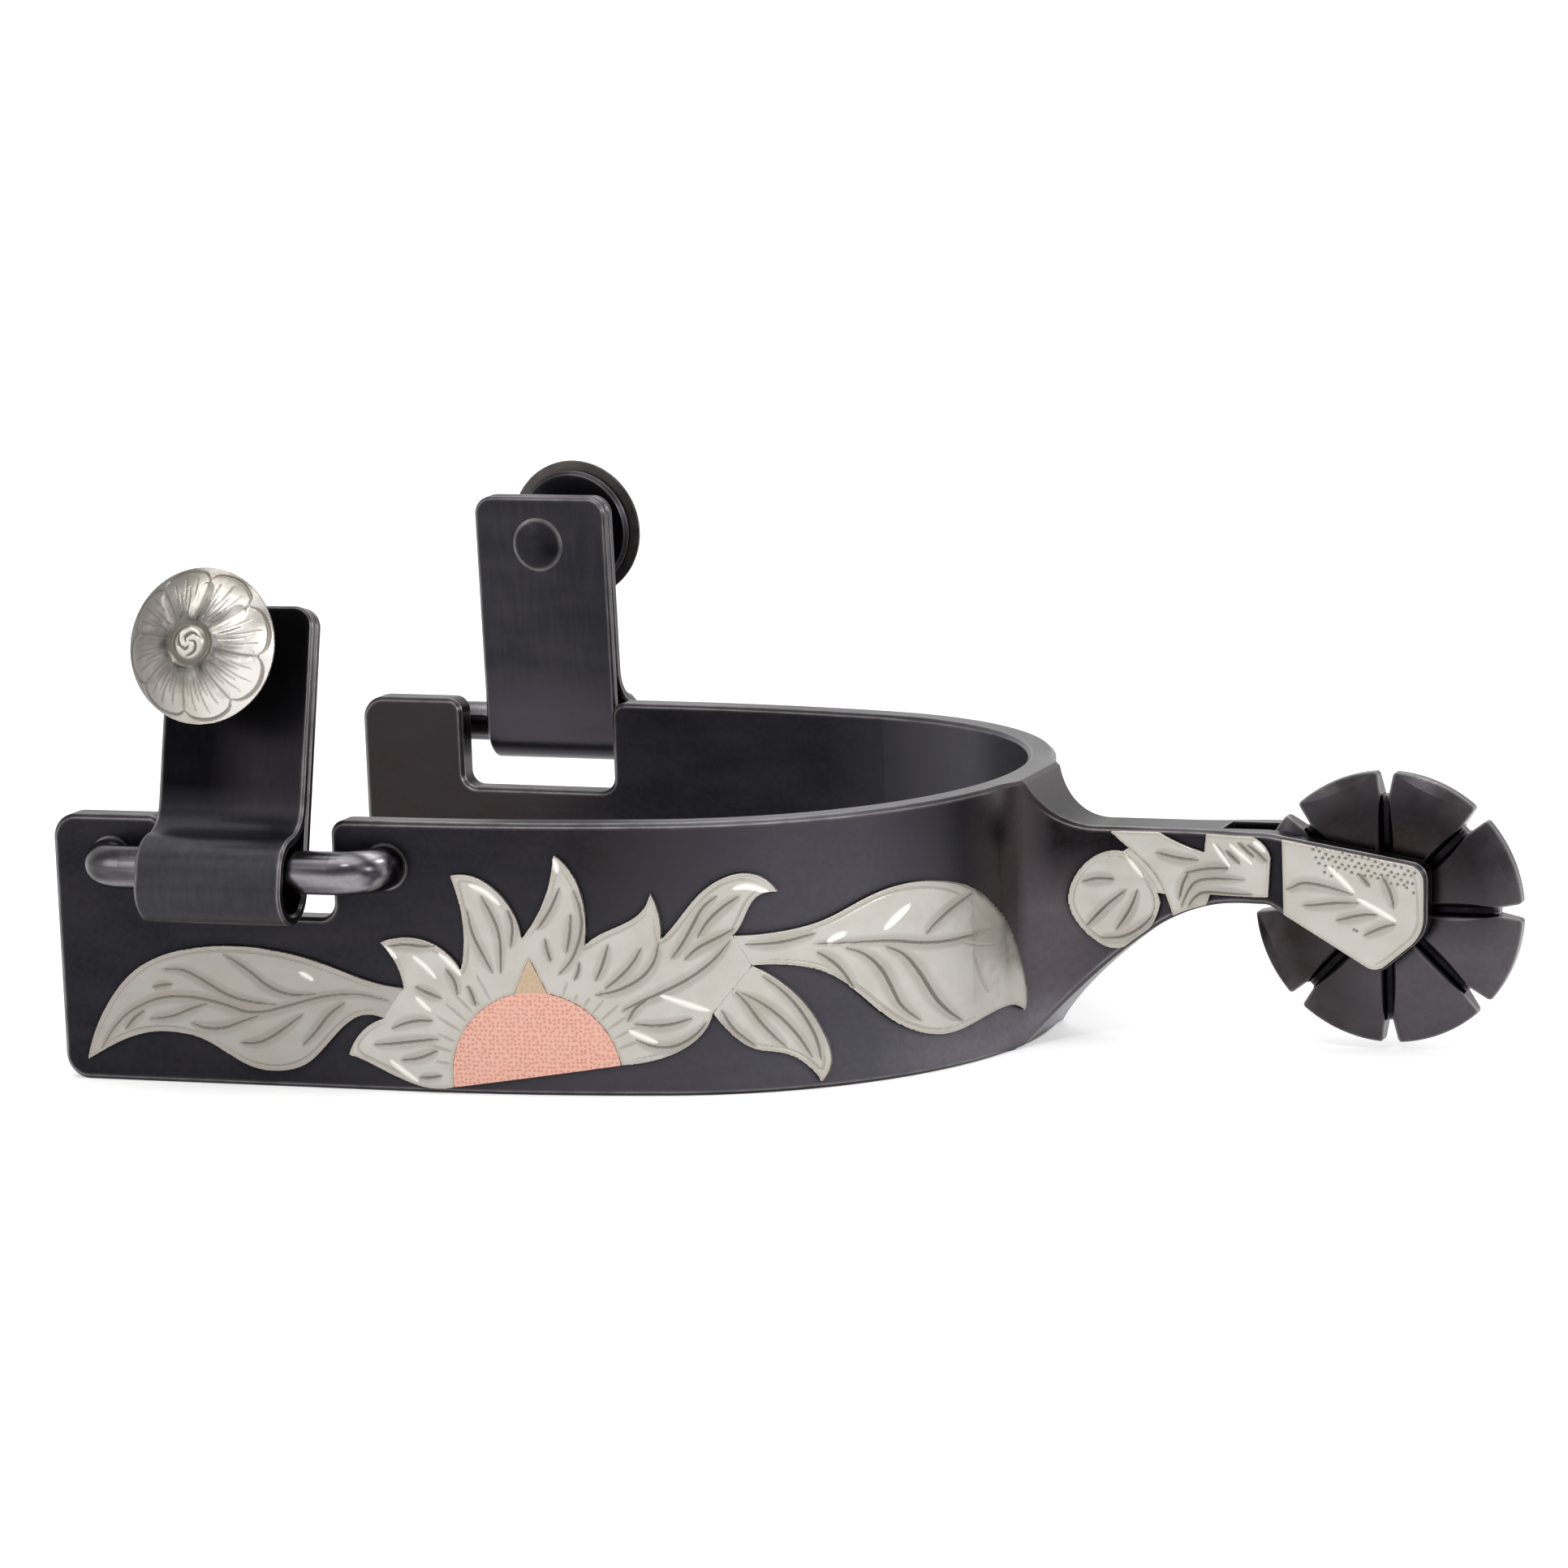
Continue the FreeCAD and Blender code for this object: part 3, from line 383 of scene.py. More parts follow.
# The band's and shank's tints: brown by the shank's root and at the inner arm's end, and painted light and
# shade elsewhere.
heel_tints_and_painted_light = ((tone(83, 81, 88), foot_table_reflection), (tone(112, 109, 116), sole_table_reflection), (tone(92, 90, 97), cheek_highlight),
              (tone(84, 76, 79), heel_ridge), (tone(14, 10, 10), root_shade), (tone(76, 74, 78), lit_shank_top),
              (tone(50, 44, 44), far_end))
finish("heel_band", blued_steel("band_steel", BLUE_BLACK, brown=0.15, wear=0.7, tints=heel_tints_and_painted_light,
                                where=zone(("X", 0.0003, -0.0005))))


# ---- shank ----
# The neck that is forged out of the heel, with its two ears for the rowel.
finish("shank", blued_steel("shank_steel", BLUE_BLACK, brown=0.15, wear=0.8, tints=heel_tints_and_painted_light,
                            where=zone(("X", 0.003, 0.0045))))


# ---- rowel and its pin ----
# An eight-petal wheel sawn from bar and domed by file, browner than the band
# because it is handled least, on a plain riveted steel pin. Its grooves are painted near black as shade.
PIN_AXIS = (44.4 * MM, 0, 17.1 * MM)


def from_pin(tree, start, end):
    """0 within start of the pin's axis and 1 from end."""
    return near(tree, PIN_AXIS, start, end, (1, 0, 1))


def groove_shade(tree):
    """Below the domes of the petals, short of the rim: painted shade in the grooves."""
    below_domes = zone(("Y", 0.0015, 0.0010), ("Y", -0.0015, -0.0010))
    return product(tree, below_domes(tree), from_pin(tree, 0.0135, 0.0125))


def petal_rim_highlight(tree):
    """Painted highlight: paler towards the rim, in patches, so that the petals look domed."""
    patchy = spread(tree, cloud(tree, 0.004), 0.35, 0.65, 0.3, 1.0)
    return product(tree, from_pin(tree, 0.0120, 0.0155), patchy, 0.6)


# Painted reflection of the table: the petals low on the wheel paler.
low_petals_table_reflection = zone(("Z", 0.022, 0.012), ("X", 0.034, 0.046))
finish("rowel", blued_steel("rowel_steel", 34, brown=0.6, wear=0.7, shine=0.24,
                            tints=((tone(78, 74, 77), low_petals_table_reflection), (tone(92, 88, 90), petal_rim_highlight),
                                   (tone(12, 11, 12), groove_shade)),
                            where=lambda tree: from_pin(tree, 0.0125, 0.0140)))
finish("rowel_pin", blued_steel("pin_steel", 60, brown=0.3, wear=0.8))


# ---- hanger bars ----
# Round bar bent to a staple and let into the wall on each side of the notch. The
# hanger's swing has rubbed the blue off it in streaks.
def streaks(tree):
    """Long thin patches that run with the bar."""
    return spread(tree, cloud(tree, 0.0020, 1.0, (0.10, 1, 1)), 0.42, 0.68)


# Painted shade: the bar darker at its front end, on the left.
front_end_shade = zone(("X", -0.092, -0.098), share=0.8)
bar_steel = blued_steel("bar_steel", 50, brown=0.0, wear=0.2, shine=0.16,
                        tints=((tone(150, 147, 151), streaks), (tone(30, 28, 32), front_end_shade)))
finish("outer_hanger_bar", bar_steel)
finish("inner_hanger_bar", bar_steel)


# ---- hangers, studs and button bases ----
# Each hanger is one strip folded round its bar, with its two leaves drawn together
# by the button's stud, whose tail is peened over on the inside.
# Painted light and reflection: each hanger paler low on its fold, round the bar.
lit_knuckle = zone(("Z", 0.036, 0.030))
# Painted light: the outer hanger paler towards its edge by the heel.
lit_rear_edge = zone(("X", -0.085, -0.079), ("Y", -0.03, -0.04))
# The outer hanger, with its stud and base, is near black: painted shade on its outer face. The inner one
# keeps a dark grey.
for side, shade, pale in (("outer", 8, tone(60, 59, 63)), ("inner", 43, tone(62, 60, 65))):
    hanger_painted_light = ((tone(40, 38, 41), lit_rear_edge), (pale, lit_knuckle))
    finish(side + "_hanger", blued_steel(side + "_hanger_steel", shade, brown=0.0, wear=0.7,
                                         tints=hanger_painted_light, brushed=(1, 1, 0.15)))
    stud_steel = blued_steel(side + "_stud_steel", shade * 0.8, brown=0.0, wear=0.3)
    finish(side + "_button_stud", stud_steel)
    finish(side + "_button_base", stud_steel)


# ---- left leaf ----
# A leaf sawn from german-silver sheet, soldered to the outer wall and cut by hand
# with a graver: dark veins, and a few wide bright cuts, painted white as highlights.
FLOWER_MIDDLE = (-45.9, 2.2)        # X and Z, mm
# X, Z and reach in mm: where two silver sheets meet, and round the copper and the brass.
JOINS = ((-63.05, 10.65, 2.5), (-21.95, 17.0, 2.3), (-23.15, 12.5, 3.7))
PLAIN_EDGES = ((*FLOWER_MIDDLE, 11.7), (-46.8, 14.2, 4.0))
# The sizes of the silver's patterns, in metres.
FILM_PATCH = 0.004
SCRATCH = 0.0012
TARNISH_REACH = 0.0009
FILED_AND_HIGHLIGHT_REACH = 0.0003
GRIME_AND_SHADE_REACH = 0.0005
BROWN_FILM = tone(150, 138, 120)
TARNISH = tone(138, 122, 104)
FILED_EDGE_AND_HIGHLIGHT = tone(236, 232, 224)
INK_AND_SHADE = tone(104, 97, 88)
BRIGHT_CUT_HIGHLIGHT = tone(234, 231, 224)
GRIME_AND_SHADE = tone(78, 70, 62)


def off_joins(tree):
    """0 where two silver sheets meet, and 1 elsewhere."""
    return product(tree, *(near(tree, (x * MM, 0, z * MM), reach * MM * 0.9, reach * MM, (1, 0, 1))
                           for x, z, reach in JOINS))


def german_silver(name, shade, roughness, dull, rim=0.0, tints=()):
    """Nickel silver: shade is its colour, dull how far the brown film on it shows, and
    rim how bright its filed edges are, as filing and as a painted highlight. tints are
    further colours, each with the function that gives its place. It is dark in the veins
    and in the painted shade beside them, and painted white as a highlight in the bright
    cuts, which the mesh's attributes say."""
    material, tree, metal = new_material(name)
    film = spread(tree, cloud(tree, FILM_PATCH, 5.0), 0.38, 0.7)
    colour = mix_colours(tree, shade, BROWN_FILM, product(tree, film, dull))
    for tint, place in tints:
        colour = mix_colours(tree, colour, tint, place(tree))
    if rim:
        clear = off_joins(tree)
        tarnish = product(tree, placed(tree, edge_group, Reach=TARNISH_REACH), clear, 0.65)
        colour = mix_colours(tree, colour, TARNISH, tarnish)
        # Filed edges, paler, and partly a painted highlight along the sheet's corners.
        edge = product(tree, placed(tree, edge_group, Reach=FILED_AND_HIGHLIGHT_REACH), clear, rim)
        colour = mix_colours(tree, colour, FILED_EDGE_AND_HIGHLIGHT, edge)
    inked_and_shaded = add_node(tree, "ShaderNodeAttribute", attribute_name="inked_and_shaded")
    colour = mix_colours(tree, colour, INK_AND_SHADE, inked_and_shaded.outputs["Fac"])
    # The bright cuts' whiteness is a painted highlight.
    bright_cut_highlight = add_node(tree, "ShaderNodeAttribute", attribute_name="bright_cut_highlight")
    colour = mix_colours(tree, colour, BRIGHT_CUT_HIGHLIGHT, bright_cut_highlight.outputs["Fac"])
    # Painted shade, with grime: darker in the corners that light can't reach, except at the joins.
    dirt_and_shade = product(tree, placed(tree, dirt_and_shade_group, Reach=GRIME_AND_SHADE_REACH), off_joins(tree), 0.7)
    colour = mix_colours(tree, colour, GRIME_AND_SHADE, dirt_and_shade)
    scratches = cloud(tree, SCRATCH, 3.0, (0.25, 1, 1))
    tree.links.new(colour, metal.inputs["Base Color"])
    metal.inputs["Metallic"].default_value = 0.85
    tree.links.new(spread(tree, scratches, 0.3, 0.7, roughness - 0.06, roughness + 0.1),
                   metal.inputs["Roughness"])
    relieve(tree, metal, scratches, 0.25, GRAIN_DEPTH)
    return material


silver = german_silver("silver_sheet", tone(183, 180, 174), 0.36, 0.25, rim=0.6)
# A darker copy of the same silver for the left leaf: painted shade, where the light falls off to the left.
shaded_silver = german_silver("silver_in_painted_shade", tone(158, 154, 149), 0.36, 0.25, rim=0.4)
# Half width and depth in mm, and how dark or bright: the graver's cuts.
# The hollow's dip is real, and its darkness is painted shade beside the vein.
HOLLOW = (1.05, 0.10, 0.28)      # beside a vein, where the metal is scooped away to it
VEIN = (0.25, 0.16, 0.9)
FINE = (0.20, 0.06, 0.30)
# A bright cut: its whiteness is a painted highlight.
FACET = (0.46, 0.13, 1.0)
DOT = (0.22, 0.14, 0.85)
# How a cut runs: a short one is at most SLENDER of its length wide on each side. It
# gets narrower towards its ends, by the power TAPER, down to TIP of its length from
# each. TROUGH is how steep its sides are, and INK how far up them the dirt in it is.
SLENDER = 0.28
TAPER = 0.6
TIP = 0.03
TROUGH = 1.5
INK = 1.3
FRONT_FROM = 0.15       # how much the metal faces the graver where the marks begin
FRONT_RISE = 5          # and how fast they come to full depth from there
SLOPE_STEP = 0.02       # mm between the two depths that give a slope
VOXEL = 0.14            # mm between an engraved mesh's points
BORDER_INSET = 0.62     # mm from the sheet's outline to its border line
BORDER_STEP = 0.9       # mm at least between the border line's points
BORDER_CLEAR = 0.9      # the share of the inset that the line keeps from every edge
FACES_FRONT = 0.3       # how much a face turns outwards that counts as the sheet's front
WELD = 0.000002         # m between the loose triangles' points that are one
SMOOTH_UNDER = math.radians(40)
OUTSIDE = -0.06         # a Y in front of the whole spur
OUTWARDS = Vector((0, -1, 0))


def merged_copy(node, name):
    """The node's mesh as a piece of its own, with its loose triangles joined."""
    bpy.ops.object.select_all(action="DESELECT")
    piece = nodes[node].copy()
    piece.data = nodes[node].data.copy()
    piece.name = name
    piece.parent = None
    # The node's own properties stay with the node.
    for key in list(piece.keys()):
        del piece[key]
    scene.collection.objects.link(piece)
    bpy.context.view_layer.objects.active = piece
    piece.select_set(True)
    bpy.ops.object.mode_set(mode="EDIT")
    bpy.ops.mesh.select_all(action="SELECT")
    bpy.ops.mesh.customdata_custom_splitnormals_clear()
    bpy.ops.mesh.remove_doubles(threshold=WELD)
    bpy.ops.object.mode_set(mode="OBJECT")
    piece.data.materials.clear()
    bpy.ops.object.shade_smooth_by_angle(angle=SMOOTH_UNDER)
    return piece


def skin_normals(piece):
    """A function from a point on the piece to the smooth normal of its skin there."""
    mesh = piece.data
    corners = [normal.vector.copy() for normal in mesh.corner_normals]
    triangles = [(tuple(triangle.vertices), tuple(triangle.loops)) for triangle in mesh.loop_triangles]
    spots = [vertex.co.copy() for vertex in mesh.vertices]
    tree = BVHTree.FromPolygons(spots, [vertices for vertices, _ in triangles])

    def normal_at(point):
        place, _, index, _ = tree.find_nearest(point)
        vertices, loops = triangles[index]
        shares = poly_3d_calc([spots[vertex] for vertex in vertices], place)
        return sum((corners[loop] * share for loop, share in zip(loops, shares)), Vector()).normalized()

    return normal_at


def stroke_line(points):
    """The stroke's points, with its corners cut twice, so that it flows."""
    line = [Vector(point) for point in points]
    for _ in range(2):
        cut = [line[0]]
        for start, end in zip(line, line[1:]):
            cut += [start.lerp(end, 0.25), start.lerp(end, 0.75)]
        line = cut + [line[-1]]
    return np.array(line)


def press(marks, spots):
    """How deep the marks are at spots in the plane, in mm, how dark they are with ink and painted shade,
    and how bright with painted highlight.
    """
    depth, inked_and_shaded, bright_cut_highlight = (np.zeros(len(spots)) for _ in range(3))
    for strokes, (width, deep, strength), shine in marks:
        for points in strokes:
            line = stroke_line(points)
            length = np.linalg.norm(np.diff(line, axis=0), axis=1).sum()
            half = min(width, SLENDER * length) if len(points) > 1 else width
            inside = (spots > line.min(axis=0) - half) & (spots < line.max(axis=0) + half)
            near_by = np.where(inside.all(axis=1))[0]
            around = spots[near_by]
            away = np.full(len(around), np.inf)
            share = np.zeros(len(around))
            for step, (start, end) in enumerate(zip(line, line[1:])):
                run = end - start
                part = np.clip((around - start) @ run / max(run @ run, 1e-9), 0, 1)
                gap = np.linalg.norm(around - start - part[:, None] * run, axis=1)
                nearer = gap < away
                away[nearer] = gap[nearer]
                share[nearer] = (step + part[nearer]) / (len(line) - 1)
            taper = np.ones(len(around))
            if len(points) > 1:
                taper = np.sin(np.pi * share.clip(TIP, 1 - TIP)) ** TAPER
            bowl = np.clip(1 - (away / (half * taper)) ** 2, 0, 1)
            depth[near_by] = np.maximum(depth[near_by], deep * taper * bowl ** TROUGH)
            dye = bright_cut_highlight if shine else inked_and_shaded
            filled = bowl if shine else np.clip(bowl * INK, 0, 1)
            dye[near_by] = np.maximum(dye[near_by], strength * filled)
    return depth, inked_and_shaded, bright_cut_highlight


def engrave(piece, marks, centre=Vector(), across=Vector((1, 0, 0)), upwards=Vector((0, 0, 1)),
            outwards=OUTWARDS):
    """Works the graver's marks into the front of a piece, in the plane of across and
    upwards: (strokes, size, whether it is a bright cut, painted white as a highlight)."""
    normal_at = skin_normals(piece)
    skin = BVHTree.FromObject(piece, bpy.context.evaluated_depsgraph_get())
    bpy.ops.object.select_all(action="DESELECT")
    piece.select_set(True)
    bpy.context.view_layer.objects.active = piece
    remesh = piece.modifiers.new("fine_mesh", "REMESH")
    remesh.mode = "VOXEL"
    remesh.voxel_size = VOXEL * MM
    remesh.use_smooth_shade = True
    bpy.ops.object.modifier_apply(modifier="fine_mesh")
    mesh = piece.data
    places = [skin.find_nearest(vertex.co)[0] for vertex in mesh.vertices]
    normals = [normal_at(place) for place in places]
    spots = [((place - centre).dot(across), (place - centre).dot(upwards)) for place in places]
    spots = np.array(spots) / MM
    facing = np.array([normal.dot(outwards) for normal in normals])
    front = np.clip((facing - FRONT_FROM) * FRONT_RISE, 0, 1)
    depth, inked_and_shaded, bright_cut_highlight = press(marks, spots)
    slope_across = (press(marks, spots + (SLOPE_STEP, 0))[0] - depth) / SLOPE_STEP * front
    slope_up = (press(marks, spots + (0, SLOPE_STEP))[0] - depth) / SLOPE_STEP * front
    depth, inked_and_shaded, bright_cut_highlight = depth * front, inked_and_shaded * front, bright_cut_highlight * front
    for index, vertex in enumerate(mesh.vertices):
        vertex.co = places[index] - normals[index] * (depth[index] * MM)
        tilt = across * slope_across[index] + upwards * slope_up[index]
        normals[index] = (normals[index] + tilt).normalized()
    mesh.normals_split_custom_set_from_vertices(normals)
    for name, values in (("inked_and_shaded", inked_and_shaded), ("bright_cut_highlight", bright_cut_highlight)):
        mesh.attributes.new(name, "FLOAT", "POINT").data.foreach_set("value", values.astype(np.float32))


def laid_sheet(name, metal, first, second, thick, columns=1):
    """A thin sheet that lies on the metal between two edges, which are (X, Z) runs."""
    skin = BVHTree.FromObject(nodes[metal], bpy.context.evaluated_depsgraph_get())
    bpy.ops.object.select_all(action="DESELECT")
    bpy.ops.mesh.primitive_grid_add(x_subdivisions=columns, y_subdivisions=len(first) - 1, size=2)
    sheet = bpy.context.object
    sheet.name = name
    for vertex in sheet.data.vertices:
        share = (vertex.co.x + 1) / 2
        row = round((1 - vertex.co.y) / 2 * (len(first) - 1))
        x, z = Vector(first[row]).lerp(Vector(second[row]), share)
        vertex.co = skin.ray_cast(Vector((x * MM, OUTSIDE, z * MM)), -OUTWARDS)[0]
    thicken = sheet.modifiers.new("sheet", "SOLIDIFY")
    thicken.thickness = thick * MM
    thicken.offset = 1
    bpy.ops.object.modifier_apply(modifier="sheet")
    bpy.ops.object.mode_set(mode="EDIT")
    bpy.ops.mesh.select_all(action="SELECT")
    bpy.ops.mesh.normals_make_consistent(inside=False)
    bpy.ops.object.mode_set(mode="OBJECT")
    bpy.ops.object.shade_smooth_by_angle(angle=SMOOTH_UNDER)
    sheet.data.materials.append(silver)
    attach(sheet, "spur")


def flat_spot(point):
    """A point's X and Z, in mm."""
    return Vector((point.x, point.z)) / MM


def on_join(spot):
    """Whether a spot is where no border line is cut."""
    return any((spot - Vector((x, z))).length < reach for x, z, reach in JOINS + PLAIN_EDGES)


def front_outline(mesh):
    """The corners of the sheet's outline in front: for each, the ways inwards from the
    edges that meet there, and the corners at those edges' other ends."""
    faces_at = {}
    for face in mesh.polygons:
        for key in face.edge_keys:
            faces_at.setdefault(key, []).append(face)
    inwards, neighbours = {}, {}
    for key, faces in faces_at.items():
        front = [face for face in faces if face.normal.dot(OUTWARDS) > FACES_FRONT]
        if len(front) != 1 or len(faces) != 2:
            continue
        start, end = (flat_spot(mesh.vertices[index].co) for index in key)
        across = (end - start).normalized().orthogonal()
        if across.dot(flat_spot(front[0].center) - start) < 0:
            across.negate()
        for index, other in (key, tuple(reversed(key))):
            inwards.setdefault(index, []).append(across)
            neighbours.setdefault(index, []).append(other)
    return inwards, neighbours


def chains(neighbours):
    """The outline's corners in the order that they are joined, run by run."""
    left = set(neighbours)
    while left:
        chain = [left.pop()]
        while True:
            onward = [other for other in neighbours[chain[-1]] if other in left]
            if not onward:
                break
            chain.append(onward[0])
            left.discard(onward[0])
        yield chain


def border_lines(piece, inset):
    """Lines just inside the sheet's outline, broken where it is too narrow for them."""
    inwards, neighbours = front_outline(piece.data)
    spots = {index: flat_spot(piece.data.vertices[index].co) for index in inwards}
    sides = [(spots[index], spots[other]) for index in neighbours for other in neighbours[index]]

    def clear_of_edges(spot):
        for start, end in sides:
            run = end - start
            share = min(1.0, max(0.0, (spot - start).dot(run) / max(run.length_squared, 1e-9)))
            if (spot - start - run * share).length < inset * BORDER_CLEAR:
                return False
        return True

    lines = []
    for chain in chains(neighbours):
        line, last = [], None
        for index in chain:
            normal = sum(inwards[index], Vector((0, 0)))
            spot = spots[index] + normal.normalized() * inset
            if last is not None and (spot - last).length < BORDER_STEP:
                continue
            last = spot
            if clear_of_edges(spot) and not on_join(spot):
                line.append(tuple(spot))
            else:
                lines.append(line)
                line = []
        lines.append(line)
    return [line for line in lines if len(line) > 2]


def engraved_leaf(node, veins, facets=(), dots=(), fine=(), sheet=silver, border=True):
    """A node of silver sheet with the graver's veins, bright facets, dots and fine
    lines, which are runs of (X, Z) in mm, and a line along its border."""
    piece = merged_copy(node, "engraved_" + node)
    piece.data.materials.append(sheet)
    edge = border_lines(piece, BORDER_INSET) if border else []
    engrave(piece, ((veins, HOLLOW, False), (veins, VEIN, False), (edge + list(fine), FINE, False),
                    (dots, DOT, False), (facets, FACET, True)))
    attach(piece, "spur")
    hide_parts(node)


engraved_leaf("left_leaf", veins=[
    [(-63.6, 10.9), (-67.5, 11.7), (-72.0, 11.2), (-76.0, 10.0), (-81.0, 8.6), (-85.0, 9.9), (-89.0, 10.6),
     (-93.0, 10.4), (-97.0, 8.6), (-99.3, 6.4), (-100.8, 4.0)],
    [(-84.4, 15.8), (-82.6, 14.8), (-80.8, 13.6), (-79.0, 12.1), (-76.3, 11.1), (-72.9, 11.4)],
    [(-92.4, 13.7), (-89.8, 13.9), (-87.2, 12.6), (-84.2, 10.8), (-81.0, 10.1), (-78.0, 10.0)],
    [(-93.8, 11.6), (-91.2, 12.0)],
    [(-86.8, 9.8), (-89.0, 9.1), (-91.5, 8.0), (-94.4, 7.7)],
    [(-80.2, 8.6), (-82.4, 7.8), (-85.0, 6.8), (-87.4, 6.8), (-89.0, 7.4)],
    [(-74.6, 8.9), (-76.5, 7.6), (-78.6, 6.1), (-80.6, 5.2), (-82.8, 5.2)],
    [(-69.2, 10.5), (-71.3, 9.1), (-72.8, 7.2), (-74.8, 5.2)],
    [(-95.0, 8.7), (-96.4, 7.8), (-97.6, 6.4)],
], facets=[
    [(-74.8, 13.9), (-74.1, 13.6), (-73.1, 13.1)],
], sheet=shaded_silver)


# ---- flower petals ----
# The half blossom beside it: eight petals in one sheet of german silver, each with
# a rolled tip that is cut bright, painted white as a highlight, and veins that run
# down to the centre.
RAYS_FROM = 10.5        # mm from the blossom's middle
RAYS_TO = 12.6
RAYS_UNEVEN = 1.3
middle_x, middle_z = FLOWER_MIDDLE
rays = []
for degrees in (172, 164, 157, 149, 141, 134, 127, 119, 70, 62, 55, 48, 41, 34, 27, 20):
    angle = math.radians(degrees)
    reach = RAYS_TO + RAYS_UNEVEN * math.sin(degrees * 1.7)
    rays.append([(middle_x + math.cos(angle) * radius, middle_z + math.sin(angle) * radius)
                 for radius in (RAYS_FROM, (RAYS_FROM + reach) / 2, reach)])
engraved_leaf("flower_petals", veins=[
    [(-63.4, 7.6), (-61.8, 8.3), (-60.0, 8.7), (-58.2, 8.7)],
    [(-65.8, 5.6), (-63.4, 5.8), (-60.5, 6.2), (-57.5, 6.6)],
    [(-62.4, 3.9), (-60.4, 4.1), (-59.0, 4.6), (-57.8, 5.2)],
    [(-60.2, 1.9), (-58.8, 1.9), (-57.4, 2.2)],
    [(-63.4, 17.4), (-61.3, 17.7), (-59.3, 17.5), (-57.6, 17.6)],
    [(-60.2, 12.7), (-58.8, 12.0), (-57.0, 11.4)],
    [(-56.3, 14.9), (-55.3, 13.6), (-55.0, 11.8)],
    [(-53.7, 13.0), (-53.2, 11.8), (-52.8, 10.6)],
    [(-53.4, 22.0), (-53.0, 19.3), (-51.9, 17.0), (-50.6, 14.6)],
    [(-51.6, 23.6), (-50.4, 21.4), (-49.5, 19.0), (-49.6, 14.6)],
    [(-48.5, 22.0), (-47.9, 20.2), (-48.3, 17.6)],
    [(-42.2, 24.6), (-43.4, 22.0), (-45.0, 19.8)],
    [(-44.2, 18.7), (-44.0, 17.4), (-43.6, 16.0)],
    [(-40.6, 24.4), (-39.8, 22.1), (-39.8, 19.4), (-41.0, 16.2), (-42.7, 14.5)],
    [(-41.0, 21.6), (-41.2, 19.2), (-41.7, 17.0)],
    [(-31.0, 18.2), (-31.5, 15.9), (-33.2, 13.9), (-36.0, 12.5), (-38.4, 12.1)],
    [(-33.0, 17.6), (-34.1, 15.7), (-35.8, 14.0), (-37.4, 12.8)],
    [(-36.8, 18.0), (-37.5, 15.7), (-38.4, 13.8)],
    [(-40.2, 16.0), (-40.4, 14.8), (-40.9, 13.8)],
    [(-24.4, 23.5), (-26.0, 22.3), (-27.2, 20.0), (-28.6, 17.6), (-29.6, 16.4)],
    [(-22.0, 23.4), (-24.0, 22.1), (-25.6, 20.5), (-26.6, 18.8)],
    [(-22.7, 19.6), (-24.7, 18.5), (-26.8, 17.5), (-28.1, 16.2)],
    [(-23.1, 18.3), (-25.0, 15.9), (-27.9, 13.8), (-31.0, 12.3), (-33.6, 11.2), (-35.5, 10.2)],
    [(-32.6, 11.5), (-34.0, 10.6), (-34.9, 9.0)],
    [(-27.6, 9.3), (-29.8, 8.6), (-32.0, 8.4), (-34.2, 8.7)],
    [(-26.0, 8.8), (-27.3, 7.2), (-29.6, 5.9), (-32.0, 5.9), (-34.0, 6.8)],
], facets=[
    [(-63.8, 3.9), (-62.4, 2.8), (-60.4, 1.5)],
    [(-64.0, 17.3), (-63.2, 16.8), (-62.4, 16.0)],
    [(-60.3, 16.3), (-59.0, 15.3), (-57.6, 13.8)],
    [(-57.1, 16.7), (-55.8, 15.7), (-54.5, 14.2)],
    [(-60.2, 11.5), (-59.4, 10.7), (-58.4, 9.9)],
    [(-53.0, 24.9), (-51.2, 24.2), (-49.4, 22.6)],
    [(-42.7, 28.0), (-42.5, 27.2), (-42.4, 26.4)],
    [(-22.6, 24.3), (-21.0, 24.6), (-19.0, 23.7)],
    [(-31.0, 12.0), (-28.4, 11.1), (-25.6, 10.1)],
    [(-34.8, 7.9), (-33.4, 7.2), (-31.6, 6.5)],
], fine=rays)


# ---- right leaf ----
# The broad leaf that runs back to the heel and bends round it with the band.
engraved_leaf("right_leaf", veins=[
    [(-14.6, 17.2), (-11.4, 16.9), (-7.6, 16.6), (-5.2, 15.7), (-3.0, 15.3), (-1.5, 15.4), (0.1, 15.7)],
    [(-14.4, 16.2), (-13.2, 15.2), (-12.1, 13.8), (-11.1, 11.6)],
    [(-11.8, 16.4), (-10.0, 15.5), (-8.5, 13.4), (-7.6, 10.6), (-7.0, 8.6), (-5.4, 6.6)],
    [(-8.2, 16.0), (-6.5, 14.8), (-5.2, 12.0), (-4.2, 9.0), (-3.3, 7.2), (-2.2, 5.6)],
    [(-4.7, 16.7), (-3.6, 18.1), (-2.4, 19.3), (-1.0, 20.5)],
    [(-21.5, 17.7), (-18.0, 17.6), (-14.6, 18.4)],
], facets=[
    [(-8.2, 18.0), (-7.2, 19.2), (-6.0, 20.5)],
    [(-13.4, 17.3), (-12.5, 17.9), (-11.6, 18.2)],
], fine=[[(-1.3, 13.4), (-0.9, 10.6), (-0.4, 8.2)], [(-2.6, 15.4), (-1.2, 14.2), (0.2, 13.6)]])


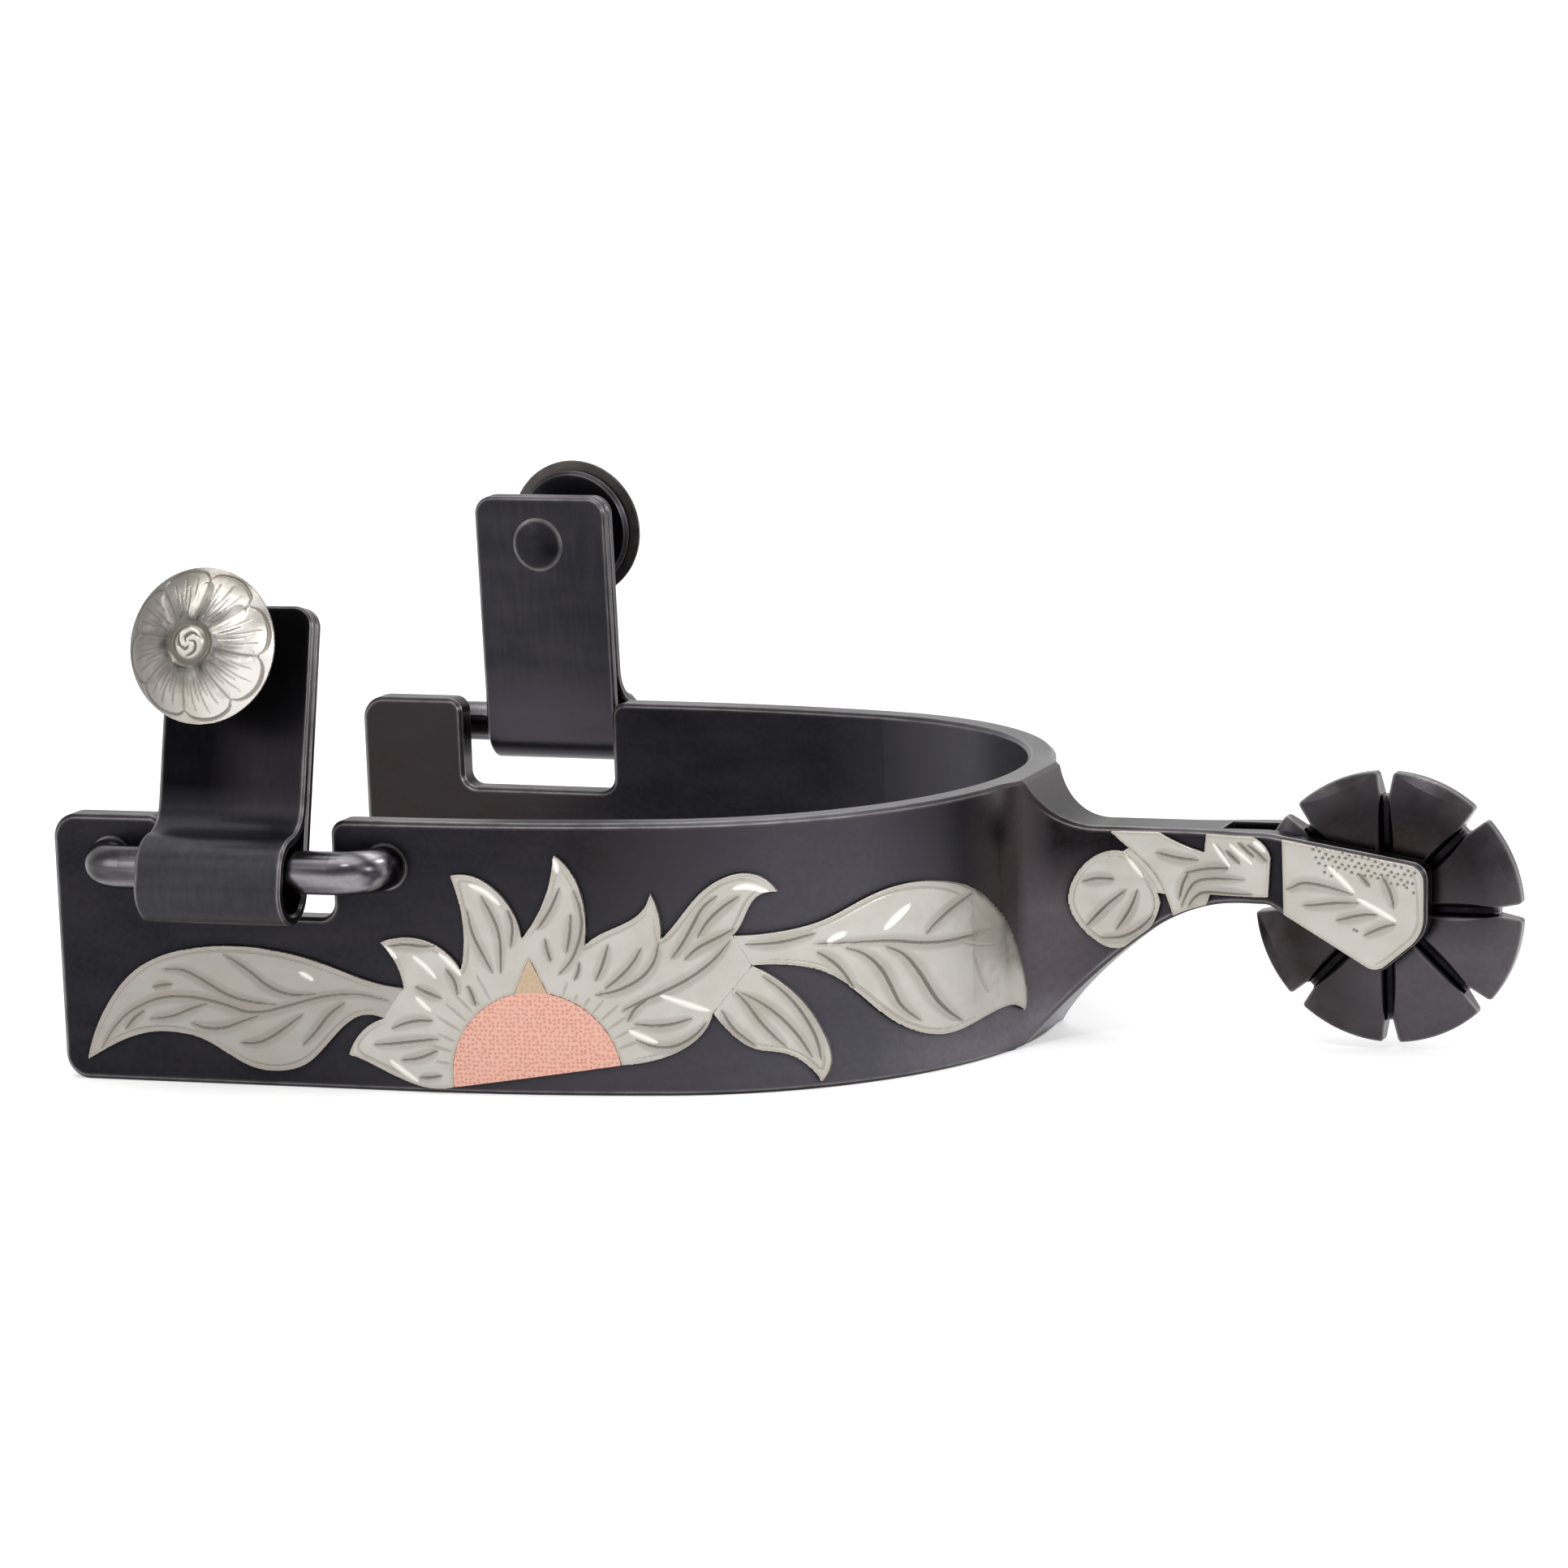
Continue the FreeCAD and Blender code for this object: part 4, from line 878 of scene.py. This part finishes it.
# ---- lower leaf ----
# A small pointed leaf that hangs from the same stem.
engraved_leaf("lower_leaf", veins=[
    [(-23.1, 12.6), (-21.7, 10.9), (-20.4, 8.6), (-18.9, 6.6), (-17.8, 5.4)],
    [(-22.2, 12.1), (-20.0, 10.7), (-18.0, 8.7), (-16.4, 6.4), (-15.3, 4.0)],
    [(-24.3, 10.1), (-23.3, 8.0), (-22.0, 6.7), (-20.9, 5.8)],
    [(-19.9, 13.9), (-17.5, 11.6), (-15.8, 8.8), (-14.7, 6.0), (-14.4, 3.6)],
])


# ---- join solder ----
# Silver solder that fills the joins between the blossom and its three leaves,
# almost up to their faces.
SOLDER_THICK = 0.52
SOLDER_HALF = 0.3       # half its width, mm
for name, start, end in (("left", (-61.7, 12.5), (-64.4, 8.8)), ("right", (-22.9, 18.8), (-21.0, 15.2)),
                         ("lower", (-21.0, 15.2), (-25.3, 9.8))):
    start, end = Vector(start), Vector(end)
    aside = (end - start).normalized().orthogonal() * SOLDER_HALF
    line = [start.lerp(end, share) for share in (0.08, 0.3, 0.5, 0.7, 0.92)]
    laid_sheet(name + "_solder", "heel_band", [spot - aside for spot in line],
               [spot + aside for spot in line], SOLDER_THICK)


# ---- shank leaf ----
# A round leaf on the root of the shank, shaped to the hollow of the metal there.
engraved_leaf("shank_leaf", veins=[
    [(12.0, 20.0), (9.8, 20.1), (8.0, 19.6)],
    [(13.4, 18.8), (11.0, 17.0), (9.4, 15.4), (8.4, 14.3)],
    [(14.8, 18.8), (14.0, 16.8), (13.0, 15.3), (12.0, 13.9)],
    [(10.0, 12.9), (12.8, 13.0), (15.3, 14.4), (16.6, 15.9)],
], facets=[
    [(13.6, 23.0), (14.5, 21.7), (15.6, 20.4)],
])


# ---- shank scroll ----
# The leafy scroll along the shank, cut off square before the rowel's ears.
engraved_leaf("shank_scroll", veins=[
    [(21.2, 21.2), (20.3, 19.7), (19.9, 17.8)],
    [(28.4, 20.7), (24.6, 20.6), (22.0, 20.2), (20.9, 18.8), (20.2, 17.0)],
    [(29.2, 19.0), (26.0, 18.9), (22.8, 18.9), (21.6, 18.0), (21.0, 17.0)],
    [(26.2, 21.9), (23.4, 21.7), (20.6, 21.0)],
    [(26.0, 24.0), (26.9, 23.2), (27.8, 22.5)],
    [(28.8, 24.9), (30.0, 24.0), (31.2, 22.9)],
    [(27.6, 25.1), (28.6, 24.2), (29.6, 23.4)],
    [(17.2, 23.4), (19.6, 22.8), (22.4, 22.6)],
], facets=[
    [(24.4, 24.8), (25.4, 23.6), (26.6, 22.2)],
    [(26.6, 24.8), (27.9, 23.8), (29.4, 22.6)],
    [(29.6, 25.3), (30.3, 24.8), (31.0, 24.1)],
], border=False)

# The web of silver that joins the scroll to the round leaf above the dark notch.
WEB_THICK = 0.5
LEAF_SIDE = ((12.9, 23.2), (14.2, 22.3), (15.6, 21.0), (16.6, 19.8), (17.2, 18.6))
SCROLL_SIDE = ((14.2, 24.0), (15.5, 22.9), (16.7, 21.6), (17.8, 20.0), (18.6, 18.4))
laid_sheet("scroll_web", "shank", LEAF_SIDE, SCROLL_SIDE, WEB_THICK, columns=4)


# ---- ear leaf ----
# The plate on the outer ear: a leaf with a raised midrib under a punched border.
DOTS_FROM = (36.4, 25.2)        # X and Z of the first dot, mm
DOTS_STEP = 0.78
DOT_ROWS = 4
DOTS_IN_ROW = 17
ROW_SHIFT = 0.35
ROW_STEP = 0.66
EAR_SLOPE = 0.235               # how far the ear's top edge falls for each mm
DOTS_UNEVEN = 0.12
ear_dots = []
for row in range(DOT_ROWS):
    for step in range(DOTS_IN_ROW - row):
        x = DOTS_FROM[0] + row * ROW_SHIFT + step * DOTS_STEP
        level = DOTS_FROM[1] - (x - DOTS_FROM[0]) * EAR_SLOPE - row * ROW_STEP
        ear_dots.append([(x, level + DOTS_UNEVEN * math.sin(5.0 * step + 2.0 * row))])
ear_dots += [[spot] for spot in ((48.6, 20.9), (47.9, 20.4), (48.7, 19.8), (38.1, 21.9), (38.9, 21.5),
                                 (39.5, 22.0), (41.5, 15.2), (41.8, 15.1))]
engraved_leaf("ear_leaf", veins=[
    [(41.4, 19.4), (40.0, 19.8), (38.4, 20.2), (36.8, 20.5), (35.2, 20.6), (34.2, 20.0), (33.5, 19.8)],
    [(42.1, 18.4), (40.7, 18.4), (38.9, 18.3), (37.1, 18.0), (35.4, 17.9)],
    [(44.4, 17.1), (43.2, 17.1), (41.8, 16.9), (40.4, 16.5), (39.4, 16.3)],
    [(46.4, 16.0), (45.4, 15.8), (43.9, 15.2), (42.7, 14.6)],
    [(45.0, 21.7), (45.6, 20.6), (46.1, 19.2), (46.3, 17.9)],
    [(42.2, 21.9), (42.9, 21.1), (43.5, 20.4)],
], facets=[
    [(42.0, 18.9), (44.2, 17.7), (46.6, 16.4)],
    [(38.6, 22.6), (40.0, 21.2), (41.6, 19.6)],
], dots=ear_dots)


# ---- flower centre ----
# The blossom's heart, a half disc of copper set in the silver and punched all over
# with a fine point.

# 1 in the pits of a pattern of punch marks that are Spacing metres apart, and 0 between.
punch_group, given, result = effect_group("punch_marks", "Pit", Spacing="Float")
place = add_node(punch_group, "ShaderNodeTexCoord")
upright = add_node(punch_group, "ShaderNodeMapping", {"Rotation": (math.pi / 2, 0, 0)})
fineness = add_node(punch_group, "ShaderNodeMath", {0: 1.0}, operation="DIVIDE")
pits = add_node(punch_group, "ShaderNodeTexVoronoi", {"Randomness": 0.55}, voronoi_dimensions="2D")
punch_group.links.new(place.outputs["Object"], upright.inputs["Vector"])
punch_group.links.new(upright.outputs[0], pits.inputs["Vector"])
punch_group.links.new(given["Spacing"], fineness.inputs[1])
punch_group.links.new(fineness.outputs[0], pits.inputs["Scale"])
punch_group.links.new(spread(punch_group, pits.outputs["Distance"], 0.12, 0.42, 1.0, 0.0), result)


def punched_metal(name, shade, dark, spacing, depth, contrast=0.55):
    """Metal of one shade that is darker in its punch marks, as far as contrast says.
    The marks are spacing apart, and depth is how deep they look, both in metres."""
    material, tree, metal = new_material(name)
    pit = placed(tree, punch_group, Spacing=spacing)
    uneven = spread(tree, cloud(tree, 0.004, 3.0), 0.3, 0.7, 0.6, 1.0)
    colour = mix_colours(tree, shade, dark, product(tree, pit, uneven, contrast))
    tree.links.new(colour, metal.inputs["Base Color"])
    metal.inputs["Metallic"].default_value = 0.8
    metal.inputs["Roughness"].default_value = 0.4
    relieve(tree, metal, pit, 0.8, depth, hollow=True)
    return material


copper_centre = merged_copy("flower_centre", "punched_flower_centre")
copper_centre.data.materials.append(
    punched_metal("punched_copper", tone(214, 166, 150), tone(176, 116, 100), 0.00052, 0.00008, 0.75))
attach(copper_centre, "spur")
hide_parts("flower_centre")


# ---- flower tip ----
# A small pointed piece of brass between the copper and the middle petal.
finish("flower_tip", punched_metal("satin_brass", tone(184, 163, 138), tone(164, 144, 118),
                                   0.0006, 0.00001))


# ---- button caps ----
# Domed german-silver caps, fluted from a small swirl in the middle out to the rim,
# and tarnished round the swirl and along the rim. Their back, far side, top and
# upper rim are painted darker as shade, and their near side paler as a highlight.
CAP_PETALS = 8
# The valleys' slight darkness is painted shade.
CAP_VALLEY = (1.5, 0.32, 0.12)      # half width and depth in mm, and how dark
CAP_PETAL = (0.24, 0.14, 0.75)
CAP_FINE = (0.17, 0.08, 0.55)
CAP_SWIRL = (0.26, 0.2, 0.9)
CAP_RING = (0.75, 0.36, 0.85)
CAP_RING_RADIUS = 2.3


def middle(node):
    """The middle of a node's surface."""
    mesh = nodes[node].data
    area = sum(face.area for face in mesh.polygons)
    return sum((face.center * face.area for face in mesh.polygons), Vector()) / area


def polar_stroke(*points):
    """A stroke on a cap, from its points' radius in mm and angle."""
    return [(radius * math.cos(angle), radius * math.sin(angle)) for radius, angle in points]


def cap_marks():
    """The graver's marks on a cap: rimmed petals with valleys between them and fine
    lines on them, round a ring with a swirl in it."""
    valleys, petals, fine = [], [], []
    turn = 2 * math.pi / CAP_PETALS
    for index in range(CAP_PETALS):
        angle = turn * (index + 0.2)
        valleys.append(polar_stroke((2.8, angle), (5.0, angle + 0.04), (7.4, angle)))
        petals.append(polar_stroke((2.9, angle), (5.2, angle + 0.05), (7.9, angle)))
        petals.append(polar_stroke((7.7, angle), (8.55, angle + turn * 0.15), (8.9, angle + turn * 0.5),
                                   (8.55, angle + turn * 0.85), (7.7, angle + turn)))
        for share, start, end in ((0.13, 3.4, 6.0), (0.26, 4.2, 7.6), (0.38, 3.2, 6.4), (0.50, 4.6, 8.1),
                                  (0.62, 3.4, 6.8), (0.75, 4.2, 7.8), (0.87, 3.6, 6.2)):
            way = angle + turn * share
            fine.append(polar_stroke((start, way), ((start + end) / 2, way + 0.03), (end, way)))
    swirl = [polar_stroke((0.3, arm), (0.9, arm + 0.9), (1.35, arm + 1.9), (1.6, arm + 2.8))
             for arm in (0.0, 2.1, 4.2)]
    # The ring is cut twice, from opposite sides, because a cut narrows at its ends.
    ring = polar_stroke(*((CAP_RING_RADIUS, math.pi * step / 8) for step in range(17)))
    return ((valleys, CAP_VALLEY, False), (petals, CAP_PETAL, False), (fine, CAP_FINE, False),
            (swirl, CAP_SWIRL, False), ([ring, ring[8:] + ring[1:9]], CAP_RING, False))


def fluted_cap(side):
    """A side's cap with the graver's marks in its dome, and its back painted dark as shade."""
    cap = merged_copy(side + "_button_cap", side + "_fluted_cap")
    centre = middle(side + "_button_cap")
    axis = (centre - middle(side + "_button_base")).normalized()
    across = axis.cross(Vector((0, 0, 1))).normalized()
    upwards = across.cross(axis)
    crown = centre + axis * max((vertex.co - centre).dot(axis) for vertex in cap.data.vertices)

    def round_the_swirl(tree):
        blot = spread(tree, cloud(tree, 0.0020, 3.0), 0.35, 0.6, 0.55, 1.0)
        return product(tree, near(tree, crown, 0.0018, 0.0023), near(tree, crown, 0.0064, 0.0032), blot)

    # Patchy tarnish along the rim, and painted shade: it darkens only the rim's upper part.
    def rim(tree):
        blot = spread(tree, cloud(tree, 0.004, 3.0), 0.3, 0.55, 0.45, 1.0)
        upper = along(tree, "Z", crown.z - 0.0030, crown.z + 0.0055)
        return product(tree, near(tree, crown, 0.0062, 0.0088), blot, upper)

    # Painted shade: the cap darker on its far side, away from the lamps.
    cap_far_side_shade = zone(("X", centre.x + 0.0005, centre.x - 0.0070))
    # Painted highlight: the cap paler on its near side, towards the lamps.
    cap_near_side_highlight = zone(("X", centre.x, centre.x + 0.0060), share=0.7)
    # Painted shade: the top of the cap darker.
    cap_top_shade = zone(("Z", centre.z + 0.0010, centre.z + 0.0080), share=0.5)
    tints = ((tone(118, 113, 109), cap_far_side_shade), (tone(224, 220, 214), cap_near_side_highlight),
             (tone(150, 146, 140), cap_top_shade), (tone(100, 96, 88), rim),
             (tone(58, 57, 56), round_the_swirl))
    cap_silver = german_silver(side + "_cap_silver", tone(200, 196, 190), 0.30, 0.5, tints=tints)
    engrave(cap, cap_marks(), centre, across, upwards, axis)
    cap.data.materials.append(cap_silver)
    cap.data.materials.append(cap_back_shade)
    for face in cap.data.polygons:
        face.material_index = 1 if face.normal.dot(axis) < 0.1 else 0
    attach(cap, side + "_hanger")
    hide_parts(side + "_button_cap")


# The caps' backs are painted dark: shade under the caps.
cap_back_shade = german_silver("cap_back_shade", tone(74, 72, 73), 0.45, 0.2)
for side in ("outer", "inner"):
    fluted_cap(side)
